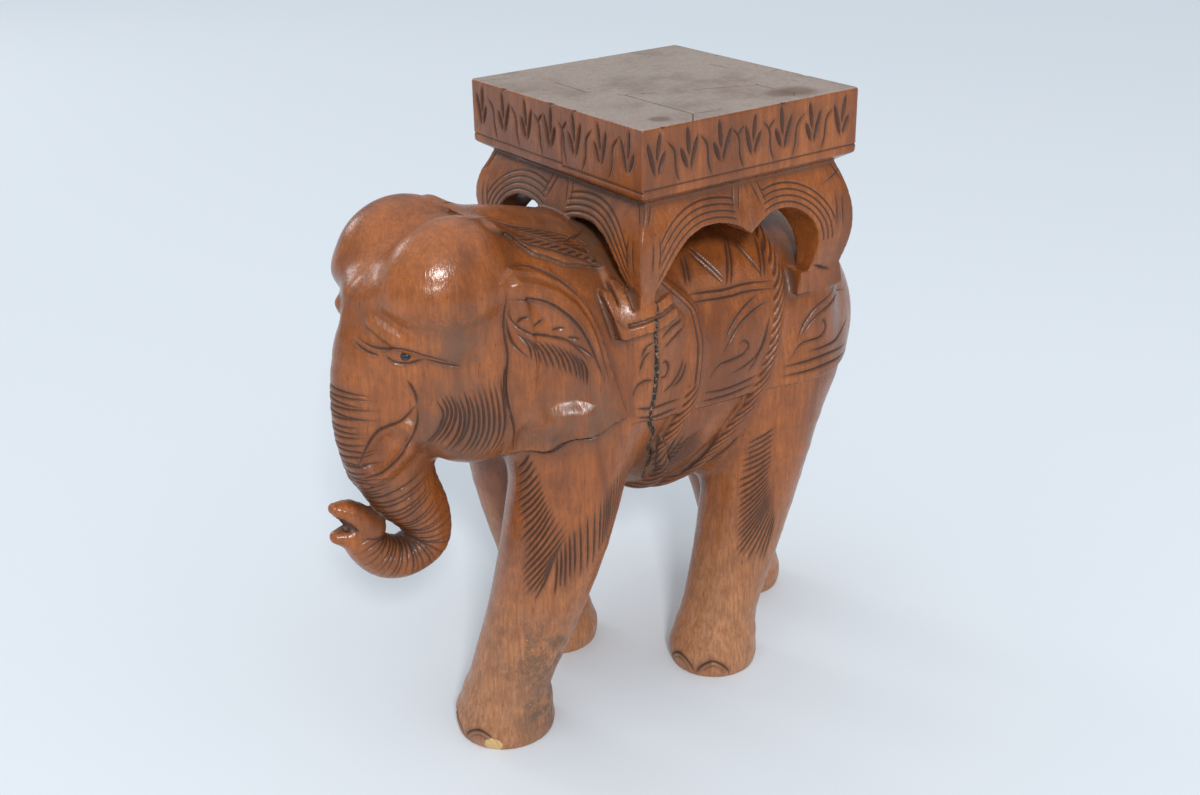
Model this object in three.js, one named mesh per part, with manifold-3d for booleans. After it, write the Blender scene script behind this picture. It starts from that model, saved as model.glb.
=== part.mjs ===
// A hardwood elephant carved from one block, with a saddle cloth and two girth ropes. On its back it
// carries a square stool top on four short scroll legs that are joined by pierced aprons.
// Millimetres, +Z up. The elephant faces -Y and its left side is +X. The origin is the middle of the
// whole piece's box, on the ground.
import * as THREE from "three";
import { mergeVertices } from "three/addons/utils/BufferGeometryUtils.js";
import Module from "manifold-3d";

const wasm = await Module();
wasm.setup();

// Driving dimensions
const elephantHeight = 500; // ground to the crown of the domed head
const seatGap = 32; // crown of the back to the underside of the top
const topThickness = 63;
const topWidth = 250; // across the elephant, X
const topLength = 234; // along the elephant, Y
const mouldingHeight = 7; // the bevelled lower edge of the top
const mouldingInset = 12;
const apronInset = 13; // edge of the top to the plane of the aprons under it
const kneeBulge = 11; // the scroll legs swell this far out
const clothThickness = 3.5; // the saddle cloth stands this proud of the hide
const ropeRadius = 7.5;
const earThickness = 9;
const carvingDepth = 2.5; // leaf strokes in the sides of the top
const leavesPerSide = 7;
const eyeRadius = 4.5;
const eyeClearance = 0.3; // between each eye bead and its socket
const figureFaces = 6400; // triangles that the carved figure may take

// The figure is posed for a height of 500 mm, with the middle of the top over x = 0, y = 0.
// share turns the pose's millimetres into real ones.
const share = elephantHeight / 500;
const backCrown = 465;
const topUnderside = backCrown * share + seatGap;
const topSurface = topUnderside + topThickness;

// Where the four scroll legs stand on the flanks, in the pose's millimetres
const footAcross = 116;
const footAlong = 112;
const frontFootLevel = 408;
const rearFootLevel = 384;

const { max, min, abs, sqrt } = Math;
const norm = (a, b, c = 0) => sqrt(a * a + b * b + c * c);
const clamp = (value, low, high) => min(max(value, low), high);
const mix = (a, b, t) => a + (b - a) * t;
const ramp = (low, high, value) => {
  const t = clamp((value - low) / (high - low), 0, 1);
  return t * t * (3 - 2 * t);
};

// Signed distance forms: each takes a place and gives its distance to a surface, inside negative.
// Smooth union: the lesser of two distances, with a fillet where they meet.
const blend = (a, b, fillet) => {
  const h = max(fillet - abs(a - b), 0) / fillet;
  return min(a, b) - h * h * fillet * 0.25;
};

// Smooth cut of b out of a.
const carve = (a, b, fillet) => -blend(-a, b, fillet);

// Distance to an ellipsoid, to first order.
const ellipsoid = (x, y, z, [cx, cy, cz], [rx, ry, rz]) => {
  const dx = x - cx;
  const dy = y - cy;
  const dz = z - cz;
  const reach = norm(dx / rx, dy / ry, dz / rz);
  const slope = norm(dx / (rx * rx), dy / (ry * ry), dz / (rz * rz));
  return slope > 0 ? (reach * (reach - 1)) / slope : -min(rx, ry, rz);
};

// A limb is a chain of round tapering lengths along a smooth curve through [x, y, z, radius] stations.
const makeLimb = (stations, count) => {
  const middle = new THREE.CatmullRomCurve3(stations.map(([x, y, z]) => new THREE.Vector3(x, y, z)));
  const girth = new THREE.CatmullRomCurve3(stations.map(([, , , r], i) => new THREE.Vector3(r, i, 0)));
  const links = Array.from({ length: count + 1 }, (_, i) => {
    const place = middle.getPoint(i / count);
    return [place.x, place.y, place.z, girth.getPoint(i / count).x];
  });
  const box = new THREE.Box3();
  for (const [x, y, z, r] of links) {
    const size = new THREE.Vector3(2 * r, 2 * r, 2 * r);
    box.union(new THREE.Box3().setFromCenterAndSize(new THREE.Vector3(x, y, z), size));
  }
  return { links, box };
};

// Distance to a limb whose section is narrowed across X. Far away, the distance to its box will do.
const limbReach = 60;
const limb = (x, y, z, { links, box }, narrow = 1) => {
  const away = norm(
    max(box.min.x - x, x - box.max.x, 0), max(box.min.y - y, y - box.max.y, 0),
    max(box.min.z - z, z - box.max.z, 0));
  if (away > limbReach) return away;
  let least = Infinity;
  for (let i = 0; i + 1 < links.length; i++) {
    const [ax, ay, az, ar] = links[i];
    const [bx, by, bz, br] = links[i + 1];
    const ux = bx - ax;
    const uy = by - ay;
    const uz = bz - az;
    const t = clamp(((x - ax) * ux + (y - ay) * uy + (z - az) * uz) / (ux * ux + uy * uy + uz * uz), 0, 1);
    const gap = norm((x - ax - t * ux) * narrow, y - ay - t * uy, z - az - t * uz) - mix(ar, br, t);
    least = min(least, gap);
  }
  return least;
};

// Distance in the side view from (y, z) to an open chain of points, and signed to a closed outline.
const segmentDistance = (y, z, [ay, az], [by, bz]) => {
  const uy = by - ay;
  const uz = bz - az;
  const t = clamp(((y - ay) * uy + (z - az) * uz) / (uy * uy + uz * uz), 0, 1);
  return norm(y - ay - t * uy, z - az - t * uz);
};
const outlineDistance = (y, z, outline) => {
  let least = Infinity;
  let inside = false;
  for (let i = 0, j = outline.length - 1; i < outline.length; j = i++) {
    const [ay, az] = outline[i];
    const [by, bz] = outline[j];
    least = min(least, segmentDistance(y, z, outline[i], outline[j]));
    if (az > z !== bz > z && y < ((by - ay) * (z - az)) / (bz - az) + ay) inside = !inside;
  }
  return inside ? -least : least;
};

// A height read off a smooth line through [at, value] stations.
const along = (at, stations) => {
  const last = stations.length - 1;
  if (at <= stations[0][0]) return stations[0][1];
  if (at >= stations[last][0]) return stations[last][1];
  const i = stations.findIndex(([start], k) => k < last && at < stations[k + 1][0]);
  const [a, va] = stations[i];
  const [b, vb] = stations[i + 1];
  return mix(va, vb, ramp(a, b, at) * 0.5 + ((at - a) / (b - a)) * 0.5);
};

// The torso: a deep barrel, the chest and the rump, squarer in the flanks than an egg.
const torso = (x, y, z) => {
  let d = ellipsoid(x, y, z, [0, 0, 350], [116, 168, 102]);
  d = blend(d, ellipsoid(x, y, z, [0, 0, 300], [104, 165, 112]), 30);
  d = blend(d, ellipsoid(x, y, z, [0, 98, 324], [104, 101, 98]), 30);
  d = blend(d, ellipsoid(x, y, z, [0, -120, 350], [107, 90, 108]), 40);
  return d;
};

// The legs stride: the left front and the right hind foot are forward and back, the others under the belly.
const legs = [
  [[60, -140, 300, 54], [60, -165, 200, 48], [52, -188, 120, 41], [40, -207, 55, 37], [35, -212, 14, 46]],
  [[-60, -130, 300, 54], [-60, -125, 200, 46], [-60, -112, 120, 38], [-59, -96, 55, 34], [-59, -90, 14, 42]],
  [[61, 80, 290, 60], [66, 60, 200, 48], [68, 38, 120, 40], [68, 20, 60, 36], [68, 11, 14, 43]],
  [[-60, 96, 290, 62], [-50, 108, 200, 50], [-38, 118, 120, 38], [-30, 126, 60, 35], [-26, 130, 14, 41]],
].map((stations) => makeLimb(stations, 12));

// Toe nails round the front of a foot: low round bosses.
const toes = (x, y, z, [cx, cy, , r]) => {
  let d = Infinity;
  for (const turn of [-60, -20, 20, 60]) {
    const angle = THREE.MathUtils.degToRad(turn);
    const place = [cx + (r - 6) * Math.sin(angle), cy - (r - 6) * Math.cos(angle), 8];
    d = min(d, ellipsoid(x, y, z, place, [10, 10, 15]));
  }
  return d;
};

// The trunk hangs from the brow and curls forward and up at the end, with two lips at its tip.
const trunk = makeLimb([
  [0, -276, 405, 50], [0, -294, 350, 44], [0, -298, 305, 38], [0, -283, 258, 32], [0, -265, 224, 24],
  [0, -261, 197, 18], [0, -283, 185, 15], [0, -308, 191, 16], [0, -324, 213, 18], [0, -333, 241, 18],
], 36);

// The head: a skull with two domes and a groove between them, heavy cheeks, brows and a short jaw.
const browLine = makeLimb([
  [27, -310, 420, 5], [42, -298, 408, 7], [54, -280, 401, 8], [66, -252, 396, 6],
], 6);
const head = (x, y, z) => {
  const side = abs(x);
  let d = ellipsoid(x, y, z, [0, -230, 395], [74, 78, 80]);
  d = blend(d, ellipsoid(x, y, z, [0, -180, 392], [92, 76, 82]), 40);
  d = blend(d, ellipsoid(x, y, z, [0, -235, 335], [68, 62, 52]), 30);
  d = blend(d, ellipsoid(side, y, z, [38, -228, 331], [44, 56, 50]), 16);
  d = blend(d, ellipsoid(side, y, z, [40, -244, 438], [46, 60, 57]), 12);
  d = blend(d, limb(x, y, z, trunk, 1.3), 24);
  d = blend(d, limb(side, y, z, browLine), 10);
  return d;
};

// The tusk is lost: its empty socket is an almond hollow with a raised rim beside the trunk.
const socketRim = makeLimb([
  [10, -318, 276, 8], [20, -310, 296, 17], [30, -298, 314, 18], [38, -284, 332, 9],
], 6);
const socketHollow = makeLimb([
  [22, -336, 279, 3], [33, -326, 297, 13], [43, -314, 315, 14], [50, -298, 333, 4],
], 6);
const tuskSocket = (x, y, z, d) =>
  carve(blend(d, limb(abs(x), y, z, socketRim), 8), limb(abs(x), y, z, socketHollow), 3);

// The ear lies on the neck and shoulder: a plate with a folded rim above and a scalloped edge below.
const earOutline = [
  [-227, 450], [-214, 457], [-190, 450], [-173, 440], [-160, 427], [-152, 412], [-147, 394], [-143, 372],
  [-138, 348], [-132, 321], [-147, 318], [-162, 308], [-176, 309], [-188, 299], [-200, 296], [-222, 292],
];
const ear = (x, y, z, d) => {
  const edge = outlineDistance(y, z, earOutline);
  if (edge > 20 || x * x < 1) return d;
  const upper = ramp(330, 380, z);
  const fold = 4 * upper * ramp(4, 9, -edge) * ramp(24, 16, -edge) * ramp(-224, -210, y);
  const dish = 4 * ramp(20, 34, -edge) + 4 * ramp(20, 0, norm(y + 206, z - 312));
  const rise = (earThickness / share) * mix(0.2, 1, ramp(-226, -190, y));
  return blend(d, max(edge, d - rise - fold + dish), 3);
};

// The saddle cloth covers the back and flanks behind the ears, down to a level hem. Over the neck it
// narrows to a leaf-patterned collar, whose lower edge climbs forward to the groove between the domes.
const hem = (y) => 299 + 10 * ramp(-80, -120, y);
const collarEdge = [[-234, 496], [-202, 478], [-175, 456], [-151, 445], [-118, 436]];
const cloth = (y, z) => {
  const saddle = min(ramp(-2, 2, z - hem(y)), ramp(-126, -118, y));
  const collar = min(ramp(-2, 2, z - along(y, collarEdge)), ramp(-220, -208, y));
  return (clothThickness / share) * max(saddle, collar);
};

// The two ropes pass round the body. Each is given by how far along it lies at each height.
const frontRope = [
  [200, -56], [230, -60], [262, -74], [284, -65], [308, -56], [335, -53], [365, -50], [392, -51], [430, -84],
];
const rearRope = [
  [200, -40], [228, -22], [264, 0], [287, 14], [316, 25], [346, 36], [372, 43], [401, 54], [440, 60],
];
const rope = (y, z, d, line) => {
  const lean = (along(z + 1, line) - along(z - 1, line)) / 2;
  const aside = (y - along(z, line)) / sqrt(1 + lean * lean);
  return norm(aside, d) - ropeRadius / share;
};

// Pads swell out of the flanks under the scroll legs, so that the legs always stand on the elephant.
const padHeight = 22;
const pad = (x, y, z) => {
  const level = (y < 0 ? frontFootLevel : rearFootLevel) - padHeight;
  return ellipsoid(abs(x), abs(y), z, [footAcross - 24, footAlong - 20, level], [24, 28, padHeight + 16]);
};

// Two carved bars make a chevron under the tip of each front scroll leg.
const chevron = (y, z, d) => {
  const upper = min(
    segmentDistance(y, z, [-119, 425], [-121, 402]), segmentDistance(y, z, [-121, 402], [-79, 413]));
  const lower = min(
    segmentDistance(y, z, [-130, 418], [-123, 390]), segmentDistance(y, z, [-123, 390], [-77, 402]));
  return norm(min(upper, lower), d - 3) - 5;
};

// The tail hangs down the middle of the rump in low relief.
const tail = (x, y, z, d) => (y > 120 ? max(norm(x, d) - 8, 218 - z, z - 380) : Infinity);

// The whole carved figure, in the pose's millimetres.
const figure = (x, y, z) => {
  const side = abs(x);
  let d = blend(torso(x, y, z), pad(x, y, z), 14);
  d = blend(d, head(x, y, z), 36);
  for (const leg of legs) d = blend(d, limb(x, y, z, leg), 28);
  for (const leg of legs) d = blend(d, toes(x, y, z, leg.links.at(-1)), 4);
  d = tuskSocket(x, y, z, d);
  if (d > 40) return d;
  const hide = d;
  d -= cloth(y, z);
  if (z > 180 && y > -140) {
    d = blend(d, rope(y, z, hide, frontRope), 3);
    d = blend(d, rope(y, z, hide, rearRope), 3);
  }
  if (y < -60 && y > -160 && side > 60) d = blend(d, chevron(y, z, hide), 2);
  d = blend(d, tail(x, y, z, hide), 5);
  return side > 30 && y < -95 ? ear(side, y, z, d) : d;
};

// Visit the places of a grid, i fastest and k slowest.
const eachPlace = ([nx, ny, nz], visit, start = 0, step = 1) => {
  for (let k = start; k < nz; k += step) {
    for (let j = start; j < ny; j += step) {
      for (let i = start; i < nx; i += step) {
        visit(i, j, k);
      }
    }
  }
};

// Where the four corners of a grid face lie in and out by turns, the shallower outer one is filled, so
// that no edge of the mesh is shared by more than two faces.
const saddleFill = -0.01; // just inside the surface
const fillSaddles = (values, [nx, ny, nz]) => {
  const strides = [1, nx, nx * ny];
  let filled = true;
  while (filled) {
    filled = false;
    eachPlace([nx - 1, ny - 1, nz - 1], (i, j, k) => {
      const a = i + nx * (j + ny * k);
      for (let axis = 0; axis < 3; axis++) {
        const b = a + strides[axis];
        const d = a + strides[(axis + 1) % 3];
        const c = b + d - a;
        const inside = values[a] < 0;
        if (inside !== values[c] < 0 || inside === values[b] < 0 || inside === values[d] < 0) continue;
        const [p, q] = inside ? [b, d] : [a, c];
        values[values[p] < values[q] ? p : q] = saddleFill;
        filled = true;
      }
    });
  }
};

// Mesh the surface where a distance is zero: one vertex in each grid cell that it crosses, at the mean
// of the crossings on the cell's edges, then a Newton step on to the surface.
const sculpt = (distance, low, high, cell) => {
  const [nx, ny, nz] = low.map((start, axis) => Math.ceil((high[axis] - start) / cell) + 1);
  const at = (i, j, k) => i + nx * (j + ny * k);
  const values = new Float32Array(nx * ny * nz);
  const block = 4; // places a side, which share one coarse value where the surface is far
  const blockReach = block * cell * 2;
  eachPlace([nx, ny, nz], (i, j, k) => {
    const middle = [i, j, k].map((n, axis) => low[axis] + (n + block / 2) * cell);
    const coarse = distance(...middle);
    const size = [min(block, nx - i), min(block, ny - j), min(block, nz - k)];
    eachPlace(size, (a, b, c) => {
      values[at(i + a, j + b, k + c)] = abs(coarse) > blockReach
        ? coarse : distance(low[0] + (i + a) * cell, low[1] + (j + b) * cell, low[2] + (k + c) * cell);
    });
  }, 0, block);
  fillSaddles(values, [nx, ny, nz]);
  const corners = Array.from({ length: 8 }, (_, n) => [n & 1, (n >> 1) & 1, n >> 2]);
  const vertexOf = new Map();
  const points = [];
  const last = [nx - 1, ny - 1, nz - 1];
  eachPlace(last, (i, j, k) => {
    const v = corners.map(([a, b, c]) => values[at(i + a, j + b, k + c)]);
    if (v.every((value) => value < 0) || v.every((value) => value >= 0)) return;
    const sum = [0, 0, 0];
    let crossings = 0;
    for (let n = 0; n < 8; n++) {
      for (let axis = 0; axis < 3; axis++) {
        const m = n | (1 << axis);
        if (m === n || v[n] < 0 === v[m] < 0) continue;
        const t = v[n] / (v[n] - v[m]);
        for (let e = 0; e < 3; e++) {
          sum[e] += corners[n][e] + (e === axis ? t : 0);
        }
        crossings++;
      }
    }
    vertexOf.set(at(i, j, k), points.length);
    points.push([i, j, k].map((n, e) => low[e] + (n + sum[e] / crossings) * cell));
  });
  const step = cell / 12;
  for (const point of points) {
    const [x, y, z] = point;
    const d = distance(x, y, z);
    const slope = [
      distance(x + step, y, z) - d, distance(x, y + step, z) - d, distance(x, y, z + step) - d];
    const steepness = norm(...slope) / step;
    const move = clamp(d / steepness, -cell / 2, cell / 2);
    slope.forEach((s, axis) => { point[axis] -= (move * s) / step / steepness; });
  }
  const faces = [];
  eachPlace(last, (i, j, k) => {
    const here = values[at(i, j, k)];
    for (let axis = 0; axis < 3; axis++) {
      const next = [i, j, k];
      next[axis]++;
      if (here < 0 === values[at(...next)] < 0) continue;
      const around = [[0, 0], [1, 0], [1, 1], [0, 1]].map(([a, b]) => {
        const cellAt = [i, j, k];
        cellAt[(axis + 1) % 3] -= a;
        cellAt[(axis + 2) % 3] -= b;
        return vertexOf.get(at(...cellAt));
      });
      const [a, b, c, e] = here < 0 ? around : around.reverse();
      const span = (p, q) => norm(...points[p].map((value, n) => value - points[q][n]));
      if (span(a, c) < span(b, e)) faces.push([a, b, c], [a, c, e]);
      else faces.push([a, b, e], [b, c, e]);
    }
  }, 1);
  return { points, faces };
};

const cross = (a, b) => [a[1] * b[2] - a[2] * b[1], a[2] * b[0] - a[0] * b[2], a[0] * b[1] - a[1] * b[0]];
const dot = (a, b) => a[0] * b[0] + a[1] * b[1] + a[2] * b[2];
const minus = (a, b) => [a[0] - b[0], a[1] - b[1], a[2] - b[2]];

// Simplify a closed mesh: in each pass, collapse the edges whose loss of form is least, none beside
// another, where the mesh stays a clean closed surface and no face turns over.
const passShare = 0.3; // of the edges, the most that one pass looks at
const lengthCost = 1e-4; // a little loss for each millimetre, so that short edges go first on a flat
const leastTurnCosine = 0.35; // between a face before and after
const steadyShare = 1e-3; // below this share the best place is too loose to trust
const simplify = ({ points, faces }, target) => {
  while (faces.length > target) {
    const facesAt = points.map(() => []);
    const quadrics = points.map(() => new Float64Array(10));
    faces.forEach((face, f) => {
      const [a, b, c] = face.map((v) => points[v]);
      const wide = cross(minus(b, a), minus(c, a));
      const size = norm(...wide) || 1;
      const [nx, ny, nz] = wide.map((n) => n / size);
      const nw = -dot([nx, ny, nz], a);
      const terms = [
        nx * nx, nx * ny, nx * nz, nx * nw, ny * ny, ny * nz, ny * nw, nz * nz, nz * nw, nw * nw,
      ];
      for (const v of face) {
        facesAt[v].push(f);
        terms.forEach((term, n) => { quadrics[v][n] += term * size; });
      }
    });
    const loss = (q, [x, y, z]) => q[0] * x * x + 2 * q[1] * x * y + 2 * q[2] * x * z + 2 * q[3] * x
      + q[4] * y * y + 2 * q[5] * y * z + 2 * q[6] * y + q[7] * z * z + 2 * q[8] * z + q[9];
    const best = (q, a, b) => {
      const [xx, xy, xz, xw, yy, yz, yw, zz, zw] = q;
      const matrix = new THREE.Matrix3().set(xx, xy, xz, xy, yy, yz, xz, yz, zz);
      const middle = a.map((value, n) => (value + b[n]) / 2);
      const reach = norm(...minus(a, b));
      let choice = [a, b, middle].reduce((p, r) => (loss(q, r) < loss(q, p) ? r : p), middle);
      if (abs(matrix.determinant()) > steadyShare * ((xx + yy + zz) / 3) ** 3) {
        const { x, y, z } = new THREE.Vector3(-xw, -yw, -zw).applyMatrix3(matrix.invert());
        if (norm(...minus([x, y, z], middle)) < reach) choice = [x, y, z];
      }
      return choice;
    };
    const edges = [];
    for (const face of faces) {
      for (let n = 0; n < 3; n++) {
        const [u, v] = [face[n], face[(n + 1) % 3]];
        if (u > v) continue;
        const q = quadrics[u].map((term, m) => term + quadrics[v][m]);
        const place = best(q, points[u], points[v]);
        const cost = loss(q, place) + lengthCost * norm(...minus(points[u], points[v]));
        edges.push({ u, v, place, cost });
      }
    }
    edges.sort((a, b) => a.cost - b.cost);
    const touched = new Uint8Array(points.length);
    const movedTo = points.map((_, v) => v);
    const ring = (v) => new Set(facesAt[v].flatMap((f) => faces[f]).filter((w) => w !== v));
    let left = faces.length;
    for (const { u, v, place } of edges.slice(0, Math.ceil(edges.length * passShare))) {
      if (left <= target) break;
      if (touched[u] || touched[v]) continue;
      const [ringU, ringV] = [ring(u), ring(v)];
      if ([...ringU].filter((w) => ringV.has(w)).length !== 2) continue;
      const turns = [...facesAt[u], ...facesAt[v]].some((f) => {
        const face = faces[f];
        if (face.includes(u) && face.includes(v)) return false;
        const [a, b, c] = face.map((w) => points[w]);
        const [p, q, r] = face.map((w) => (w === u || w === v ? place : points[w]));
        const before = cross(minus(b, a), minus(c, a));
        const after = cross(minus(q, p), minus(r, p));
        return dot(before, after) < leastTurnCosine * norm(...before) * norm(...after);
      });
      if (turns) continue;
      points[u] = place;
      movedTo[v] = u;
      for (const w of [u, v, ...ringU, ...ringV]) touched[w] = 1;
      left -= 2;
    }
    if (left === faces.length) break;
    faces = faces.map((face) => face.map((v) => movedTo[v]));
    faces = faces.filter(([a, b, c]) => a !== b && b !== c && c !== a);
  }
  return { points, faces };
};

const mergeReach = 1e-4; // corners this near are one
// A closed solid from points and faces, and from a three.js geometry whose shared corners are merged.
const solidFrom = (vertProperties, triVerts) =>
  new wasm.Manifold(new wasm.Mesh({ numProp: 3, vertProperties, triVerts }));
const solidOf = (geometry) => {
  const bare = geometry.clone();
  bare.deleteAttribute("normal");
  bare.deleteAttribute("uv");
  const merged = mergeVertices(bare, mergeReach);
  return solidFrom(new Float32Array(merged.attributes.position.array), new Uint32Array(merged.index.array));
};

// A flat outline pushed along an axis: "x" takes [y, z] points and "y" takes [x, z] points.
const extrudeAlong = (axis, outline, from, to) => {
  const shape = new THREE.Shape(outline.map(([a, b]) => new THREE.Vector2(a, b)));
  const geometry = new THREE.ExtrudeGeometry(shape, { depth: to - from, bevelEnabled: false });
  const turn = axis === "x"
    ? new THREE.Matrix4().makeBasis(
      new THREE.Vector3(0, 1, 0), new THREE.Vector3(0, 0, 1), new THREE.Vector3(1, 0, 0))
    : new THREE.Matrix4().makeBasis(
      new THREE.Vector3(-1, 0, 0), new THREE.Vector3(0, 0, 1), new THREE.Vector3(0, 1, 0));
  geometry.translate(0, 0, from).applyMatrix4(turn);
  return solidOf(geometry);
};

// The figure at its real size, with its soles cut flat on the ground.
const cell = 7;
const figureLow = [-160, -370, -45];
const figureHigh = [160, 235, 520];
const groundWidth = 1000;
const groundDepth = 100;
const carveFigure = () => {
  const mesh = simplify(sculpt(figure, figureLow, figureHigh, cell), figureFaces);
  const vertices = new Float32Array(mesh.points.flat().map((value) => value * share));
  const figureSolid = solidFrom(vertices, new Uint32Array(mesh.faces.flat()));
  const ground = new THREE.BoxGeometry(groundWidth * share, groundWidth * share, groundDepth * share);
  ground.translate(0, 0, (-groundDepth / 2) * share);
  return figureSolid.subtract(solidOf(ground));
};

// The top: a square slab with a bevelled lower edge.
const halfAcross = topWidth / 2;
const halfAlong = topLength / 2;
const carveTop = () => {
  const bevel = [
    [-halfAcross + mouldingInset, topUnderside], [halfAcross - mouldingInset, topUnderside],
    [halfAcross, topUnderside + mouldingHeight], [halfAcross, topSurface],
    [-halfAcross, topSurface], [-halfAcross, topUnderside + mouldingHeight]];
  const endways = bevel.map(([a, z]) => [a * (halfAlong / halfAcross), z]);
  endways[0][0] = -halfAlong + mouldingInset;
  endways[1][0] = halfAlong - mouldingInset;
  const slab = extrudeAlong("y", bevel, -halfAlong, halfAlong);
  return slab.intersect(extrudeAlong("x", endways, -halfAcross, halfAcross));
};

// A leaf stroke: a long pointed lens from its foot to its tip, in the plane of a side.
const leafOutline = ([ax, az], [bx, bz], width) => {
  const ux = bx - ax;
  const uz = bz - az;
  const size = norm(ux, uz);
  const edge = (t, w) => [ax + ux * t - (uz / size) * w, az + uz * t + (ux / size) * w];
  const reach = width / 2;
  return [edge(0, 0), edge(0.3, -reach), edge(0.7, -reach), edge(1, 0), edge(0.7, reach), edge(0.3, reach)];
};

// Each side of the top carries a row of tulips: two broad leaf strokes that spring from one point.
const leafFootGap = 7; // above the bevel
const leafTipGap = 5; // below the top face, at least
const leafPlan = (half) => {
  const pitch = (2 * half) / leavesPerSide;
  const foot = topUnderside + mouldingHeight + leafFootGap;
  const tall = topSurface - leafTipGap - foot;
  return Array.from({ length: leavesPerSide }, (_, i) => -half + pitch * (i + 0.5)).flatMap((middle) => [
    leafOutline([middle - 0.06 * pitch, foot], [middle - 0.28 * pitch, foot + tall * 0.85], pitch * 0.2),
    leafOutline([middle + 0.04 * pitch, foot], [middle + 0.26 * pitch, foot + tall * 0.8], pitch * 0.2),
  ]);
};
const cutterProud = 1; // the cutters start this far outside the side
const carveLeaves = (slab) => {
  let carved = slab;
  const sides = [["x", halfAcross, halfAlong, 1], ["y", halfAlong, halfAcross, -1]];
  for (const [axis, reach, width, sense] of sides) {
    for (const turn of [1, -1]) {
      const inner = reach - carvingDepth;
      const outer = reach + cutterProud;
      const [from, to] = turn > 0 ? [inner, outer] : [-outer, -inner];
      for (const outline of leafPlan(width)) {
        const face = outline.map(([a, z]) => [sense * turn * a, z]);
        carved = carved.subtract(extrudeAlong(axis, turn > 0 ? face : face.reverse(), from, to));
      }
    }
  }
  return carved;
};

// The scroll legs and aprons under the top. Seen along one axis, the outer edge swells at the knee and
// comes in to the foot. The opening between two legs is a cusped arch with a pendant in the middle.
// Its points give the share of the half span, and of the height from the foot's level to the top. The
// rear legs stand lower and their feet spread under the arch.
const frontArch = [
  [0.9, -0.06], [0.86, 0.1], [0.81, 0.28], [0.74, 0.46], [0.63, 0.6],
  [0.48, 0.68], [0.3, 0.68], [0.14, 0.62], [0, 0.5],
];
const rearArch = [
  [0.7, 0], [0.66, 0.12], [0.7, 0.26], [0.71, 0.4], [0.67, 0.53],
  [0.58, 0.64], [0.44, 0.72], [0.28, 0.74], [0.14, 0.7], [0, 0.61],
];
const legSteps = 7;
const swellHaste = 1.15; // the knee's swell is over before the foot
const skirtTuck = 2; // the aprons run this far up into the top
const legEdge = (half, foot, level) => Array.from({ length: legSteps + 1 }, (_, i) => {
  const t = i / legSteps;
  const swell = kneeBulge * Math.sin(Math.PI * min(1, swellHaste * t));
  return [mix(half - apronInset, foot, t) + swell, mix(topUnderside, level, t)];
});
const wing = (half, foot, level, archShape) => {
  const edge = legEdge(half, foot, level);
  const arch = archShape.map(([u, v]) => [u * foot, mix(level, topUnderside, v)]);
  return [[edge[0][0], topUnderside + skirtTuck], ...edge, ...arch];
};
const skirtOutline = (leftWing, rightWing) => {
  const mirrored = leftWing.map(([a, z]) => [-a, z]).reverse();
  return [...rightWing, ...mirrored.slice(1)];
};
const carveSkirt = () => {
  const front = frontFootLevel * share;
  const rear = rearFootLevel * share;
  const across = footAcross * share;
  const lengthways = footAlong * share;
  const side = skirtOutline(
    wing(halfAlong, lengthways, front, frontArch), wing(halfAlong, lengthways, rear, rearArch));
  const faceOutline = (level, arch) =>
    skirtOutline(wing(halfAcross, across, level, arch), wing(halfAcross, across, level, arch));
  const frontFace = extrudeAlong("y", faceOutline(front, frontArch), -2 * lengthways, 0);
  const rearFace = extrudeAlong("y", faceOutline(rear, frontArch), 0, 2 * lengthways);
  return extrudeAlong("x", side, -2 * across, 2 * across).intersect(frontFace.add(rearFace));
};

// Each rear scroll leg ends in a flared toe block that lies on the flank.
const toeHeight = 18;
const toeLength = 46; // from the foot in along the flank
const toeWidth = 34;
const toeProud = 5; // out past the foot, lengthways
const carveToes = () => {
  const level = rearFootLevel * share;
  const inner = (footAlong - toeLength) * share;
  const outer = (footAlong + toeProud) * share;
  const outline = [
    [inner - 4, level - 3], [outer, level - 5],
    [outer - 4, level + toeHeight], [inner + 6, level + toeHeight],
  ];
  const reach = (footAcross - toeWidth) * share;
  const edge = (footAcross + 1) * share;
  return extrudeAlong("x", outline, reach, edge).add(extrudeAlong("x", outline, -edge, -reach));
};

// The eyes: a bead is set in a socket in each side of the head, with half of it standing out.
const eyeAlong = -294;
const eyeLevel = 393;
const eyeSquash = 0.7; // height of a bead over its width
const eyeSunk = 1; // the bead's middle lies this far in
const marchSteps = 60;
const marchShare = 0.6; // of the distance to the hide, so that no step goes through it
const eyeAcross = () => {
  let x = footAcross;
  for (let step = 0; step < marchSteps; step++) {
    x -= marchShare * figure(x, eyeAlong, eyeLevel);
  }
  return x - eyeSunk;
};
const eyeball = (radius, sideSign) => {
  const ball = new THREE.SphereGeometry(radius, 12, 8).rotateX(Math.PI / 2).scale(1, 1, eyeSquash);
  return ball.translate(sideSign * eyeAcross() * share, eyeAlong * share, eyeLevel * share);
};

// One block: the elephant, the scroll legs with their aprons, and the top, less the two eye sockets.
const carveBlock = () => {
  let block = carveFigure().add(carveLeaves(carveTop())).add(carveSkirt()).add(carveToes());
  for (const sideSign of [1, -1]) {
    block = block.subtract(solidOf(eyeball(eyeRadius + eyeClearance, sideSign)));
  }
  const { vertProperties, triVerts } = block.getMesh();
  const geometry = new THREE.BufferGeometry();
  geometry.setAttribute("position", new THREE.BufferAttribute(vertProperties, 3));
  geometry.setIndex(new THREE.BufferAttribute(triVerts, 1));
  return geometry;
};

const wood = new THREE.MeshStandardMaterial({ color: 0x8f4f24, roughness: 0.38, metalness: 0 });
const darkBead = new THREE.MeshStandardMaterial({ color: 0x14181c, roughness: 0.12, metalness: 0 });

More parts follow.
